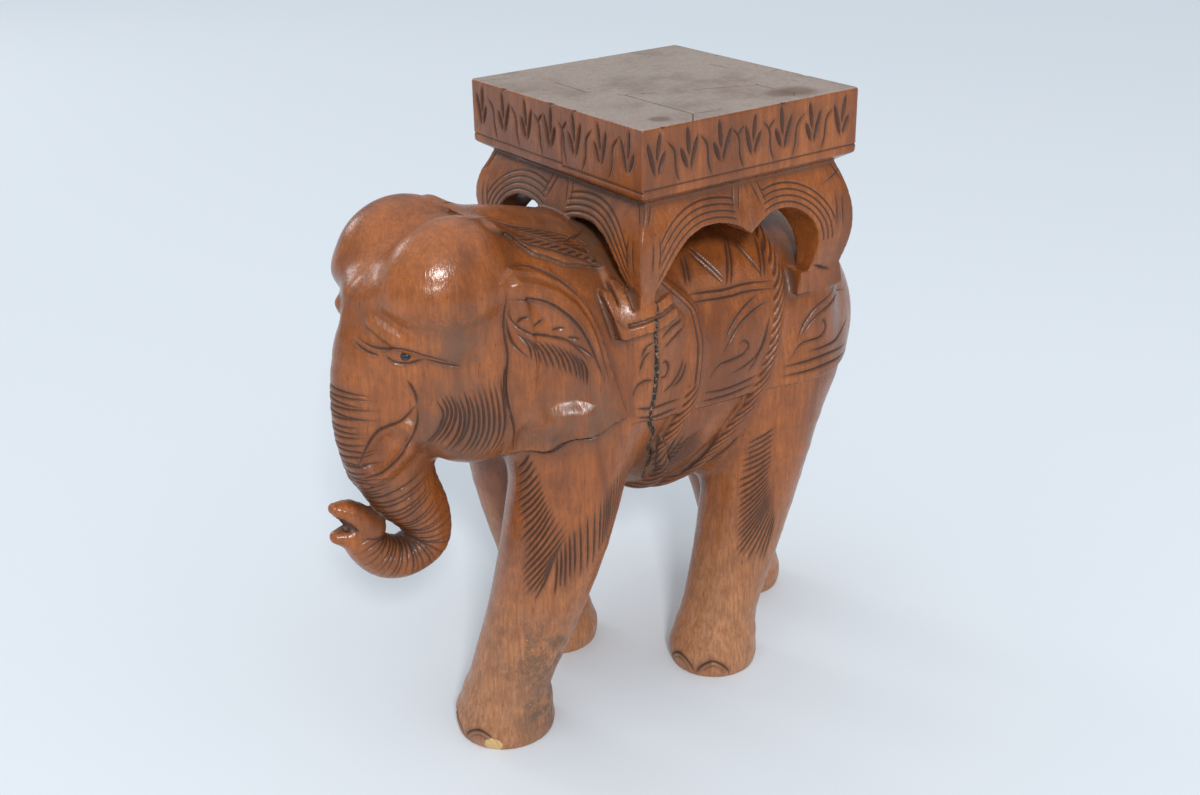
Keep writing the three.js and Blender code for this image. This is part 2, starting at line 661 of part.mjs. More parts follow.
const elephantStand = new THREE.Group();
const addPiece = (name, geometry, material) => {
  const piece = new THREE.Mesh(geometry, material);
  piece.name = name;
  elephantStand.add(piece);
  return piece;
};
const block = addPiece("elephant_stand", carveBlock(), wood);
addPiece("eye_bead_left", eyeball(eyeRadius, 1), darkBead);
addPiece("eye_bead_right", eyeball(eyeRadius, -1), darkBead);

// The origin goes to the middle of the whole piece's box, on the ground.
const extent = new THREE.Box3().setFromObject(block);
const middle = extent.getCenter(new THREE.Vector3());
elephantStand.position.set(-middle.x, -middle.y, -extent.min.z);

export default elephantStand;
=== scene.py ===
# %% [markdown]
# # A carved wooden elephant that carries a square top
# The real thing is cut from one block of hardwood. A round body, a saddle cloth, ropes and a stool top
# run into each other without a joint, so no single primitive or grid can follow it all. This lesson
# sculpts with distances instead: each form is a formula that says how far any place is from its
# surface, forms are melted together with a fillet, and one mesh is drawn where the distance is zero.
# The chisel strokes are then laid on that mesh as grooves.

# %% Load the frame
import math

import bpy
import numpy as np
from mathutils import Matrix, Vector


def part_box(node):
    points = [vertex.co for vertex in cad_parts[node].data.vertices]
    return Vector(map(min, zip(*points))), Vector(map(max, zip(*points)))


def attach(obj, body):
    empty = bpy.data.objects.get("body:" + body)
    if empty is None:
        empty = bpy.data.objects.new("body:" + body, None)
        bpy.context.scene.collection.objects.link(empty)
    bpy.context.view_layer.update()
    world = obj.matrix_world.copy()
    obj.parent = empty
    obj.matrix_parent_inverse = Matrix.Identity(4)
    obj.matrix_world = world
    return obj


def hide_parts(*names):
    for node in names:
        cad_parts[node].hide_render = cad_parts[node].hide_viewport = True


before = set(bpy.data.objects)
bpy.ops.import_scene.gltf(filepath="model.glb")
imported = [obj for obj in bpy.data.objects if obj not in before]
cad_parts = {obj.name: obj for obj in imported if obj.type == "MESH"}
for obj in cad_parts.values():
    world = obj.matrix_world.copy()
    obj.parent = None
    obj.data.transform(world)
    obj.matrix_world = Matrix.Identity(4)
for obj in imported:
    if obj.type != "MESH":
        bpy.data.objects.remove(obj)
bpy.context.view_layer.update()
BODY = "root"
BLOCK = "elephant_stand"
BEADS = ("eye_bead_left", "eye_bead_right")

# %% [markdown]
# ## One set of sizes
# The construction model is posed in millimetres, with the middle of the square top over x = 0, y = 0.
# The two eye beads lie in mirror places of that pose, so their boxes say where its origin went in the
# frame, and the whole scene is worked out in the pose's millimetres and placed once, at the end.

# %% Sizes, in millimetres
MM = 0.001
TOP_WIDTH = 250.0
TOP_LENGTH = 234.0
TOP_SURFACE = 560.0
TOP_THICKNESS = 63.0
TOP_UNDERSIDE = TOP_SURFACE - TOP_THICKNESS
MOULDING_HEIGHT = 7.0
MOULDING_INSET = 12.0
APRON_INSET = 13.0
KNEE_BULGE = 11.0
CLOTH_THICKNESS = 3.5
ROPE_RADIUS = 7.5
EAR_THICKNESS = 9.0
EYE_ALONG = -294.0

bead_middles = [sum((np.array(corner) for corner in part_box(bead)), np.zeros(3)) / 2 for bead in BEADS]
POSE_SHIFT = np.array([
    (bead_middles[0][0] + bead_middles[1][0]) / 2,
    bead_middles[0][1] - EYE_ALONG * MM,
    0.0,
])
print("pose shift in metres", POSE_SHIFT.round(5))

# %% [markdown]
# ## Sculpting with distances
# A distance function takes whole arrays of places and answers with one number each: negative inside
# the wood, zero on its surface. The lesser of two distances joins two forms, and a fillet term makes
# the joint as soft as a carver's gouge leaves it.

# %% Forms as distances
def clamp(value, low, high):
    """The value, held between low and high."""
    return np.minimum(np.maximum(value, low), high)


def mix(a, b, t):
    """The place a share t of the way from a to b."""
    return a + (b - a) * t


def ramp(low, high, value):
    """Smooth step: 0 before low, 1 past high, and 3t^2 - 2t^3 between, t being the share of the way."""
    t = clamp((value - low) / (high - low), 0, 1)
    return t * t * (3 - 2 * t)


def span(*parts):
    """The length of a vector: the root of the sum of its parts' squares."""
    return np.sqrt(sum(part * part for part in parts))


def blend(a, b, fillet):
    """Soft union: the lesser distance, less h^2 fillet / 4, h being how near the two are, in fillets."""
    h = np.maximum(fillet - np.abs(a - b), 0) / fillet
    return np.minimum(a, b) - h * h * fillet * 0.25


def overlap(a, b, fillet):
    """Soft intersection: the greater distance, with its corner rounded by the same term."""
    return -blend(-a, -b, fillet)


def carve(a, b, fillet):
    """Soft cut: what is in a and not in b."""
    return -blend(-a, b, fillet)


def ellipsoid(x, y, z, centre, radii):
    """Distance to an ellipsoid, to first order: r (r - 1) / |grad|, r being the scaled radius."""
    dx, dy, dz = x - centre[0], y - centre[1], z - centre[2]
    reach = span(dx / radii[0], dy / radii[1], dz / radii[2])
    slope = span(dx / radii[0] ** 2, dy / radii[1] ** 2, dz / radii[2] ** 2)
    return reach * (reach - 1) / np.maximum(slope, 1e-6)


# %% Limbs: round tapering chains
def smooth_line(points, count):
    """count + 1 places on the centripetal Catmull-Rom curve through the points: each stretch between two
    points is the cubic whose end slopes come from the neighbours, timed by the root of their distances."""
    points = np.asarray(points, float)
    padded = np.vstack([2 * points[0] - points[1], points, 2 * points[-1] - points[-2]])
    at = np.linspace(0, len(points) - 1, count + 1)
    i = np.minimum(at.astype(int), len(points) - 2)
    t = (at - i)[:, None]
    p0, p1, p2, p3 = (padded[i + k] for k in range(4))
    t0, t1, t2 = (
        np.maximum(np.linalg.norm(b - a, axis=1, keepdims=True), 1e-6) ** 0.5
        for a, b in ((p0, p1), (p1, p2), (p2, p3))
    )
    start = ((p1 - p0) / t0 - (p2 - p0) / (t0 + t1) + (p2 - p1) / t1) * t1
    end = ((p2 - p1) / t1 - (p3 - p1) / (t1 + t2) + (p3 - p2) / t2) * t1
    return (
        p1 + start * t
        + (3 * (p2 - p1) - 2 * start - end) * t * t
        + (2 * (p1 - p2) + start + end) * t * t * t
    )


def make_limb(stations, count):
    """Links of a limb from x, y, z, radius stations: the middle line and the girth are both smooth lines."""
    stations = np.asarray(stations, float)
    middle = smooth_line(stations[:, :3], count)
    steps = np.arange(len(stations))
    girth = smooth_line(np.column_stack([stations[:, 3], steps, steps * 0]), count)[:, :1]
    return np.hstack([middle, girth])


LIMB_REACH = 60.0


def limb(x, y, z, links, narrow=1.0, reach=LIMB_REACH):
    """Distance to a chain of round cones: to each link's nearest axis point, less the radius there. Away
    from the limb's box the distance to the box will do. narrow squeezes the section across X. It is one
    number, or one for each place."""
    low = (links[:, :3] - links[:, 3:]).min(0)
    high = (links[:, :3] + links[:, 3:]).max(0)
    away = span(*(
        np.maximum(np.maximum(low[n] - p, p - high[n]), 0) for n, p in enumerate((x, y, z))
    ))
    near = np.flatnonzero(away < reach)
    px, py, pz = x[near], y[near], z[near]
    if isinstance(narrow, np.ndarray):
        narrow = narrow[near]
    least = np.full(len(near), np.inf, x.dtype)
    for (ax, ay, az, ar), (bx, by, bz, br) in zip(links[:-1], links[1:]):
        ux, uy, uz = bx - ax, by - ay, bz - az
        t = clamp(((px - ax) * ux + (py - ay) * uy + (pz - az) * uz) / (ux * ux + uy * uy + uz * uz), 0, 1)
        gap = span((px - ax - t * ux) * narrow, py - ay - t * uy, pz - az - t * uz) - mix(ar, br, t)
        np.minimum(least, gap, out=least)
    away[near] = least
    return away


# %% Flat outlines in a side view
def segment_distance(u, v, a, b):
    """Distance in a plane to the stretch from a to b."""
    du, dv = b[0] - a[0], b[1] - a[1]
    t = clamp(((u - a[0]) * du + (v - a[1]) * dv) / (du * du + dv * dv), 0, 1)
    return span(u - a[0] - t * du, v - a[1] - t * dv)


def outline_distance(u, v, outline):
    """Distance to a closed outline, negative inside, where a level ray crosses it an odd number of times."""
    least = np.full(u.shape, np.inf, u.dtype)
    inside = np.zeros(u.shape, bool)
    for a, b in zip(outline, np.roll(outline, 1, axis=0)):
        np.minimum(least, segment_distance(u, v, a, b), out=least)
        if a[1] != b[1]:
            across = (a[1] > v) != (b[1] > v)
            inside ^= across & (u < (b[0] - a[0]) * (v - a[1]) / (b[1] - a[1]) + a[0])
    return np.where(inside, -least, least)


def along(at, stations):
    """A height read off a line through at, value stations, half eased at each station."""
    starts, values = np.array(stations, float).T
    i = clamp(np.searchsorted(starts, at) - 1, 0, len(starts) - 2)
    t = clamp((at - starts[i]) / (starts[i + 1] - starts[i]), 0, 1)
    return mix(values[i], values[i + 1], (t * t * (3 - 2 * t) + t) / 2).astype(at.dtype)


# %% [markdown]
# ## The elephant
# The animal is a deep barrel on four striding legs. Its head has two domes with a groove between them
# and heavy cheeks. The trunk hangs from the brow and curls forward. The tusks are lost: only their
# almond sockets are left beside the trunk.

# %% Torso and legs
def torso(x, y, z):
    """Barrel, belly, rump and chest as four ellipsoids melted together."""
    d = ellipsoid(x, y, z, (0, 0, 350), (116, 168, 102))
    d = blend(d, ellipsoid(x, y, z, (0, 0, 300), (104, 165, 112)), 30)
    d = blend(d, ellipsoid(x, y, z, (0, 98, 324), (104, 101, 98)), 30)
    return blend(d, ellipsoid(x, y, z, (0, -120, 350), (107, 90, 108)), 40)


LEGS = [make_limb(stations, 12) for stations in (
    [(60, -140, 300, 54), (60, -165, 200, 48), (52, -188, 120, 41), (40, -207, 55, 37), (35, -212, 14, 46)],
    [(-60, -130, 300, 54), (-60, -125, 200, 46), (-60, -112, 120, 38), (-59, -96, 55, 34),
     (-59, -90, 14, 42)],
    [(61, 80, 290, 60), (66, 60, 200, 48), (68, 38, 120, 40), (68, 20, 60, 36), (68, 11, 14, 43)],
    [(-60, 96, 290, 62), (-50, 108, 200, 50), (-38, 118, 120, 38), (-30, 126, 60, 35), (-26, 130, 14, 41)],
)]


# %% Head and trunk
TRUNK = make_limb([
    (0, -276, 405, 50), (0, -294, 350, 44), (0, -298, 305, 38), (0, -283, 258, 32), (0, -265, 224, 24),
    (0, -264, 199, 20.5), (0, -284, 189, 19), (0, -304, 194, 19), (0, -320, 210, 17.5), (0, -327, 226, 13),
], 36)
UPPER_LIP = make_limb([(0, -318, 228, 15), (0, -334, 246, 11), (0, -347, 254, 5)], 6)
LOWER_LIP = make_limb([(0, -322, 212, 14), (0, -337, 224, 10), (0, -347, 227, 6)], 6)
BROW = make_limb([(27, -310, 420, 5), (42, -298, 408, 7), (54, -280, 401, 8), (66, -252, 396, 6)], 6)
DOME_FOOT = make_limb([
    (7, -313, 444, 1), (37, -306, 440, 1), (70, -288, 438, 1), (84, -256, 436, 1), (86, -222, 443, 1),
], 8)
EYE_HOLLOW = make_limb([
    (20, -318, 416, 1), (44, -306, 413, 1), (70, -288, 411, 1), (88, -256, 408, 1), (90, -226, 412, 1),
], 8)
SOCKET_RIM = make_limb([(10, -318, 276, 8), (20, -310, 296, 17), (30, -298, 314, 18), (38, -284, 332, 9)], 6)
SOCKET = make_limb([(22, -336, 279, 3), (33, -326, 297, 13), (43, -314, 315, 14), (50, -298, 333, 4)], 6)


def head(x, y, z):
    """Skull, nape, jaw, cheeks and the two domes, with the trunk and the brow lines melted on."""
    side = np.abs(x)
    d = ellipsoid(x, y, z, (0, -230, 395), (74, 78, 80))
    d = blend(d, ellipsoid(x, y, z, (0, -180, 392), (92, 76, 82)), 40)
    d = blend(d, ellipsoid(x, y, z, (0, -235, 335), (68, 62, 52)), 30)
    d = blend(d, ellipsoid(side, y, z, (38, -228, 331), (44, 56, 50)), 16)
    d = blend(d, ellipsoid(side, y, z, (40, -244, 438), (46, 60, 57)), 12)
    d = blend(d, limb(x, y, z, TRUNK, mix(0.92, 1.3, ramp(215, 275, z))), 24)
    lips = np.minimum(limb(x, y, z, UPPER_LIP, 0.85, 20), limb(x, y, z, LOWER_LIP, 0.85, 20))
    d = blend(d, lips, 4)
    d = d - 2.4 * ramp(22, 0, limb(side, y, z, DOME_FOOT, reach=26))
    d = d + 4.0 * ramp(26, 0, limb(side, y, z, EYE_HOLLOW, reach=30))
    return blend(d, limb(side, y, z, BROW, reach=20), 10)


def tusk_socket(x, y, z, d):
    """A raised rim beside the trunk, with the empty almond hollow cut out of it."""
    side = np.abs(x)
    return carve(blend(d, limb(side, y, z, SOCKET_RIM, reach=20), 8), limb(side, y, z, SOCKET, reach=20), 3)


# %% Ears
EAR = np.array([
    (-227, 450), (-214, 457), (-190, 450), (-173, 440), (-160, 427), (-152, 412), (-147, 394), (-143, 372),
    (-138, 348), (-132, 321), (-147, 318), (-162, 308), (-176, 309), (-188, 299), (-200, 296), (-222, 292),
], float)


EAR_DISHES = ((-206, 309, 15, 6), (-185, 303, 13, 5.5), (-164, 312, 11, 3.5))


def ear(x, y, z, d):
    """A plate that lies on the neck: the outline's inside, raised off the wood below, with a folded rim
    above and dished toward the middle and the scalloped lower edge."""
    side = np.abs(x)
    near = np.flatnonzero((side > 30) & (y < -95) & (y > -250) & (z > 270) & (z < 480))
    py, pz, below = y[near], z[near], d[near]
    edge = outline_distance(py, pz, EAR)
    upper = ramp(330, 380, pz)
    fold = 5 * upper * ramp(4, 9, -edge) * ramp(24, 16, -edge) * ramp(-224, -210, py)
    dish = 4 * ramp(20, 34, -edge)
    for along_ear, level, width, depth in EAR_DISHES:
        dish = dish + depth * ramp(width, 1, span(py - along_ear, (pz - level) * 0.75))
    rise = EAR_THICKNESS * mix(0.2, 1, ramp(-226, -190, py))
    plate = blend(below, np.maximum(edge, below - rise - fold + dish), 3)
    out = d.copy()
    out[near] = np.where(edge > 20, below, plate)
    return out


# %% Saddle cloth, collar, ropes, chevrons and tail
COLLAR_EDGE = [(-234, 496), (-202, 478), (-175, 456), (-151, 445), (-118, 436)]
FRONT_ROPE = [
    (200, -56), (230, -60), (262, -74), (284, -65), (308, -56), (335, -53), (365, -50), (392, -51),
    (430, -84)]
REAR_ROPE = [
    (200, -40), (228, -22), (264, 0), (287, 14), (316, 25), (346, 36), (372, 43), (401, 54), (440, 60)]


def cloth(y, z):
    """How far the cloth stands off the hide: over the flanks down to a level hem, and over the neck down
    to the climbing edge of the collar."""
    hem = 299 + 10 * ramp(-80, -120, y)
    saddle = np.minimum(ramp(-1.5, 1.5, z - hem), ramp(-126, -118, y))
    collar = np.minimum(ramp(-1.5, 1.5, z - along(y, COLLAR_EDGE)), ramp(-220, -208, y))
    return CLOTH_THICKNESS * np.maximum(saddle, collar)


def rope(y, z, d, line):
    """A round rope sunk half in the hide: the distance, across the rope's lean and off the hide at once,
    less the radius."""
    lean = (along(z + 1, line) - along(z - 1, line)) / 2
    aside = (y - along(z, line)) / np.sqrt(1 + lean * lean)
    return span(aside, d) - ROPE_RADIUS


def chevron(y, z, d):
    """Two bent bars under the tip of each front scroll leg."""
    bars = [
        segment_distance(y, z, start, end) for start, end in (
            ((-119, 425), (-120, 401)), ((-120, 401), (-81, 411)),
            ((-130, 419), (-125, 388)), ((-125, 388), (-78, 399)))
    ]
    return np.maximum(np.minimum.reduce(bars) - 4.3, d - 7)


def tail(x, y, z, d):
    """A round cord down the middle of the rump."""
    return np.where(y > 120, np.maximum(np.maximum(span(x, d) - 8, 218 - z), z - 380), np.inf)


FOOT_ACROSS = 116.0
FOOT_ALONG = 112.0
FRONT_FOOT_LEVEL = 408.0
REAR_FOOT_LEVEL = 384.0
PAD_HEIGHT = 22.0


def pad(x, y, z):
    """The flank swells under each scroll leg, so that the leg stands on the elephant."""
    level = np.where(y < 0, FRONT_FOOT_LEVEL, REAR_FOOT_LEVEL) - PAD_HEIGHT
    centre = (FOOT_ACROSS - 24, FOOT_ALONG - 20, level)
    return ellipsoid(np.abs(x), np.abs(y), z, centre, (24, 28, PAD_HEIGHT + 16))


def elephant(x, y, z):
    """The whole animal with what it wears."""
    side = np.abs(x)
    d = blend(torso(x, y, z), pad(x, y, z), 14)
    d = blend(d, head(x, y, z), 36)
    for leg in LEGS:
        d = blend(d, limb(x, y, z, leg), 28)
    d = tusk_socket(x, y, z, d)
    hide = d
    d = d - cloth(y, z) * ramp(40, 20, d)
    roped = np.flatnonzero((z > 180) & (y > -140) & (y < 100) & (hide < 30))
    ry, rz, rh = y[roped], z[roped], hide[roped]
    d[roped] = blend(blend(d[roped], rope(ry, rz, rh, FRONT_ROPE), 3), rope(ry, rz, rh, REAR_ROPE), 3)
    barred = np.flatnonzero((y < -60) & (y > -160) & (side > 60) & (z > 370) & (z < 450))
    d[barred] = blend(d[barred], chevron(y[barred], z[barred], hide[barred]), 2)
    d = blend(d, tail(x, y, z, hide), 5)
    return ear(x, y, z, d)


# %% [markdown]
# ## The square top on its scroll legs
# The top is a thick slab with an undercut lower edge. Under it four legs swell at the knee and come in
# to the foot, and pierced aprons join them. Seen along either axis the legs and aprons are one
# outline, so their solid is what lies inside both outlines at once.

# %% Slab
HALF_ACROSS = TOP_WIDTH / 2
HALF_ALONG = TOP_LENGTH / 2
EDGE_ROUND = 2.0


def slab(x, y, z):
    """What lies within the four sides, under the top face and above the undercut, its edges rounded."""
    sides = overlap(np.abs(x) - HALF_ACROSS, np.abs(y) - HALF_ALONG, EDGE_ROUND)
    slant = math.hypot(MOULDING_HEIGHT, MOULDING_INSET)
    under = (sides * MOULDING_HEIGHT - (z - TOP_UNDERSIDE - MOULDING_HEIGHT) * MOULDING_INSET) / slant
    return overlap(overlap(sides, z - TOP_SURFACE, EDGE_ROUND), under, EDGE_ROUND)


# %% Scroll legs and aprons
FRONT_ARCH = [
    (0.9, -0.06), (0.86, 0.1), (0.81, 0.28), (0.74, 0.46), (0.63, 0.6), (0.48, 0.68), (0.3, 0.68),
    (0.14, 0.62), (0, 0.5)]
REAR_ARCH = [
    (0.7, 0), (0.66, 0.12), (0.7, 0.26), (0.71, 0.4), (0.67, 0.53), (0.58, 0.64), (0.44, 0.72), (0.28, 0.74),
    (0.14, 0.7), (0, 0.61)]


def half_arch(shape, foot, level):
    """Half an opening as a smooth outline: shares of the foot's distance and of the height to the slab,
    closed far below the feet and along the middle line."""
    shares = smooth_line(np.array(shape, float), 3 * (len(shape) - 1))
    line = np.column_stack([shares[:, 0] * foot, mix(level, TOP_UNDERSIDE, shares[:, 1])])
    return np.vstack([[line[0, 0] + 6, level - 60], line, [-30, line[-1, 1] - 26], [-30, level - 60]])


def leg_edge(z, half, foot, level):
    """Where the outer edge of a leg lies at each height: from the apron's plane to the foot, plus the
    knee's swell, a half sine over the upper seven eighths."""
    t = clamp((TOP_UNDERSIDE - z) / (TOP_UNDERSIDE - level), 0, 1)
    return mix(half - APRON_INSET, foot, t) + KNEE_BULGE * np.sin(math.pi * np.minimum(1, 1.15 * t))


def skirt_view(u, z, half, foot, front_arch, front_level, rear_arch, rear_level):
    """Distance in one view to the legs and apron: inside the outer edge, above the feet and outside the
    arch. Where u is negative the front arch and level hold, and elsewhere the rear ones."""
    d = np.empty(u.shape, u.dtype)
    for chosen, arch, level in ((u < 0, front_arch, front_level), (u >= 0, rear_arch, rear_level)):
        at = np.flatnonzero(chosen)
        out, up = np.abs(u[at]), z[at]
        opening = outline_distance(out, up, half_arch(arch, foot, level))
        d[at] = overlap(overlap(out - leg_edge(up, half, foot, level), -opening, 1.5), level - 4 - up, 2)
    return d


def skirt(x, y, z):
    """Inside both views at once, with a sharp mitred ridge down each leg, and under the slab."""
    lengthways = skirt_view(
        y, z, HALF_ALONG, FOOT_ALONG, FRONT_ARCH, FRONT_FOOT_LEVEL, REAR_ARCH, REAR_FOOT_LEVEL)
    d = np.empty(x.shape, x.dtype)
    for chosen, level in ((y < 0, FRONT_FOOT_LEVEL), (y >= 0, REAR_FOOT_LEVEL)):
        at = np.flatnonzero(chosen)
        across = skirt_view(
            np.abs(x[at]), z[at], HALF_ACROSS, FOOT_ACROSS, FRONT_ARCH, level, FRONT_ARCH, level)
        d[at] = overlap(lengthways[at], across, 1.5)
    return np.maximum(d, z - TOP_UNDERSIDE - 4)


TOE_BLOCK_HEIGHT = 18.0


def toe_blocks(x, y, z):
    """The rear legs end in flared blocks that lie on the flank: a box, leaning in toward its top."""
    rise = z - REAR_FOOT_LEVEL
    lean = 4 * clamp(rise / TOE_BLOCK_HEIGHT, 0, 1)
    inner, outer = FOOT_ALONG - 50 + lean, FOOT_ALONG + 5 - lean
    lengthways = np.maximum(inner - y, y - outer)
    across = np.maximum(FOOT_ACROSS - 34 - np.abs(x), np.abs(x) - FOOT_ACROSS - 1)
    return overlap(overlap(lengthways, across, 2), np.maximum(-3 - rise, rise - TOE_BLOCK_HEIGHT), 2)


# %% Everything as one distance
SEAT_LOW = 370.0


def carving(x, y, z):
    """The elephant and its burden as one block of wood, its soles cut flat on the ground."""
    d = np.maximum(elephant(x, y, z), -z)
    high = np.flatnonzero(z > SEAT_LOW)
    hx, hy, hz = x[high], y[high], z[high]
    burden = blend(slab(hx, hy, hz), skirt(hx, hy, hz), 1.5)
    burden = blend(burden, toe_blocks(hx, hy, hz), 1.5)
    d[high] = blend(d[high], burden, 3)
    return d


# %% [markdown]
# ## From distances to a mesh
# Surface nets put one vertex in every grid cell that the surface crosses, at the mean of the crossings
# on the cell's edges, and one face across every grid edge that it crosses. Only the cells near the
# surface are worth measuring, so a coarse grid is read first.

# %% Measure the distances on a grid
def in_batches(function, points, size=400000):
    """The function's answer at many places, a batch at a time, so that memory stays small."""
    points = points.astype(np.float32)
    return np.concatenate([
        function(*(np.ascontiguousarray(part) for part in points[start:start + size].T))
        for start in range(0, len(points), size)
    ])


def grid_values(function, low, high, cell, stride=4):
    """Distances at the corners of a grid of cells. Each block of stride cells is measured finely if one of
    its own corners is near the surface, and keeps a coarse corner's value if not."""
    blocks = np.ceil((np.array(high) - low) / (cell * stride)).astype(int)
    corners = np.stack(np.meshgrid(*(np.arange(n + 1) for n in blocks), indexing="ij"), -1)
    coarse = in_batches(function, corners.reshape(-1, 3) * (cell * stride) + low).reshape(blocks + 1)
    nearest = np.full(blocks, np.inf, np.float32)
    for a in (0, 1):
        for b in (0, 1):
            for c in (0, 1):
                part = coarse[a:blocks[0] + a, b:blocks[1] + b, c:blocks[2] + c]
                nearest = np.minimum(nearest, np.abs(part))
    near = nearest < 1.3 * cell * stride
    values = np.full(blocks * stride + 1, np.float32(cell * stride))
    base = coarse[:-1, :-1, :-1]
    fine_near = near
    for axis in range(3):
        base = base.repeat(stride, axis)
        fine_near = fine_near.repeat(stride, axis)
    values[:-1, :-1, :-1] = base
    wanted = np.zeros(values.shape, bool)
    for a in (0, 1):
        for b in (0, 1):
            for c in (0, 1):
                ends = [n + s for n, s in zip(fine_near.shape, (a, b, c))]
                wanted[a:ends[0], b:ends[1], c:ends[2]] |= fine_near
    places = np.argwhere(wanted)
    values[wanted] = in_batches(function, places * cell + np.asarray(low, float))
    return values


# %% Draw the surface nets
CUBE = np.array([(n & 1, (n >> 1) & 1, n >> 2) for n in range(8)])


def surface_nets(values, low, cell):
    """Vertices and quads of the zero surface: a vertex at the mean crossing of each crossed cell, and a
    quad round each crossed grid edge, turned so that it faces out of the negative side."""
    inside = values < 0
    counts = sum(
        inside[tuple(slice(a, size - 1 + a) for a, size in zip(corner, inside.shape))].astype(np.uint8)
        for corner in CUBE
    )
    cells = np.argwhere((counts > 0) & (counts < 8))
    vertex_of = np.full(counts.shape, -1, np.int32)
    vertex_of[tuple(cells.T)] = np.arange(len(cells))
    corner_values = [values[tuple((cells + corner).T)] for corner in CUBE]
    total = np.zeros((len(cells), 3))
    crossings = np.zeros(len(cells))
    for n in range(8):
        for axis in range(3):
            m = n | (1 << axis)
            if m == n:
                continue
            crossed = (corner_values[n] < 0) != (corner_values[m] < 0)
            drop = np.where(crossed, corner_values[n] - corner_values[m], 1)
            place = np.repeat(CUBE[n][None].astype(float), len(cells), 0)
            place[:, axis] += corner_values[n] / drop
            total += place * crossed[:, None]
            crossings += crossed
    points = np.asarray(low, float) + (cells + total / crossings[:, None]) * cell
    quads = []
    for axis in range(3):
        b, c = (axis + 1) % 3, (axis + 2) % 3
        here = np.take(inside, np.arange(inside.shape[axis] - 1), axis)
        there = np.take(inside, np.arange(1, inside.shape[axis]), axis)
        edges = np.argwhere(here != there)
        edges = edges[(edges[:, b] > 0) & (edges[:, c] > 0)]
        rounds = []
        for back_b, back_c in ((0, 0), (1, 0), (1, 1), (0, 1)):
            cell_at = edges.copy()
            cell_at[:, b] -= back_b
            cell_at[:, c] -= back_c
            rounds.append(vertex_of[tuple(cell_at.T)])
        ring = np.column_stack(rounds)
        outward = here[tuple(edges.T)]
        quads.append(np.where(outward[:, None], ring, ring[:, ::-1]))
    return points, np.vstack(quads)


def cut_quads(points, quads):
    """Two triangles for each quad, cut along its shorter diagonal."""
    first = np.linalg.norm(points[quads[:, 0]] - points[quads[:, 2]], axis=1)
    second = np.linalg.norm(points[quads[:, 1]] - points[quads[:, 3]], axis=1)
    flat = np.where((first < second)[:, None], quads, np.roll(quads, -1, axis=1))
    return np.vstack([flat[:, [0, 1, 2]], flat[:, [0, 2, 3]]])


# %% Slide vertices on to the surface
TETRAHEDRON = np.array([(1, 1, 1), (1, -1, -1), (-1, 1, -1), (-1, -1, 1)], float) / math.sqrt(3)


def measure(points, step=0.4):
    """The distance and the outward normal at each place, from four samples at a small tetrahedron's
    corners: their mean, and their sum weighted by the corners."""
    samples = [in_batches(carving, points + corner * step) for corner in TETRAHEDRON]
    slope = sum(sample[:, None] * corner for sample, corner in zip(samples, TETRAHEDRON)) * 0.75 / step
    size = np.maximum(np.linalg.norm(slope, axis=1, keepdims=True), 1e-6)
    return sum(samples) / 4 / size[:, 0], slope / size


def settle(points, steps=1, limit=1.5):
    """Newton steps: each vertex moves along its normal by its distance, at most limit millimetres."""
    for _ in range(steps):
        distance, normal = measure(points)
        points = points - clamp(distance, -limit, limit)[:, None] * normal
    return points


def neighbour_mean(points, faces):
    """The mean place of each vertex's neighbours along the edges of its faces."""
    ends = np.vstack([faces[:, [0, 1]], faces[:, [1, 2]], faces[:, [2, 0]]])
    ends = np.vstack([ends, ends[:, ::-1]])
    count = np.bincount(ends[:, 0], minlength=len(points))
    total = np.column_stack([
        np.bincount(ends[:, 0], points[ends[:, 1], axis], len(points)) for axis in range(3)])
    return total / np.maximum(count, 1)[:, None]


# %% Refine where the detail is
def refine(points, faces, busy):
    """Halves each edge whose two ends are busy and cuts its triangles to suit, so that no gap opens: one
    halved edge makes two triangles, two make three and three make four."""
    edges = np.sort(faces[:, [[0, 1], [1, 2], [2, 0]]], axis=2)
    key = edges[..., 0].astype(np.int64) * len(points) + edges[..., 1]
    unique, which = np.unique(key, return_inverse=True)
    which = which.reshape(key.shape)
    a, b = unique // len(points), unique % len(points)
    halved = busy[a] & busy[b]
    middle = np.full(len(unique), -1)
    middle[halved] = len(points) + np.arange(halved.sum())
    points = np.vstack([points, (points[a[halved]] + points[b[halved]]) / 2])
    new = middle[which]
    split = new >= 0
    out = []
    for pattern in range(8):
        bits = [(pattern >> n) & 1 for n in range(3)]
        chosen = (split == np.array(bits, bool)).all(1)
        f, m = faces[chosen], new[chosen]
        if not len(f):
            continue
        turn = 0
        if sum(bits) == 1:
            turn = bits.index(1)
        elif sum(bits) == 2:
            turn = (bits.index(0) + 1) % 3
        f, m = np.roll(f, -turn, axis=1), np.roll(m, -turn, axis=1)
        if sum(bits) == 0:
            parts = [f]
        elif sum(bits) == 1:
            parts = [
                np.column_stack([f[:, 0], m[:, 0], f[:, 2]]),
                np.column_stack([m[:, 0], f[:, 1], f[:, 2]]),
            ]
        elif sum(bits) == 2:
            parts = [
                np.column_stack([m[:, 0], f[:, 1], m[:, 1]]),
                np.column_stack([f[:, 0], m[:, 0], m[:, 1]]),
                np.column_stack([f[:, 0], m[:, 1], f[:, 2]]),
            ]
        else:
            parts = [
                np.column_stack([f[:, 0], m[:, 0], m[:, 2]]),
                np.column_stack([m[:, 0], f[:, 1], m[:, 1]]),
                np.column_stack([m[:, 2], m[:, 1], f[:, 2]]),
                m,
            ]
        out += parts
    return points, np.vstack(out)

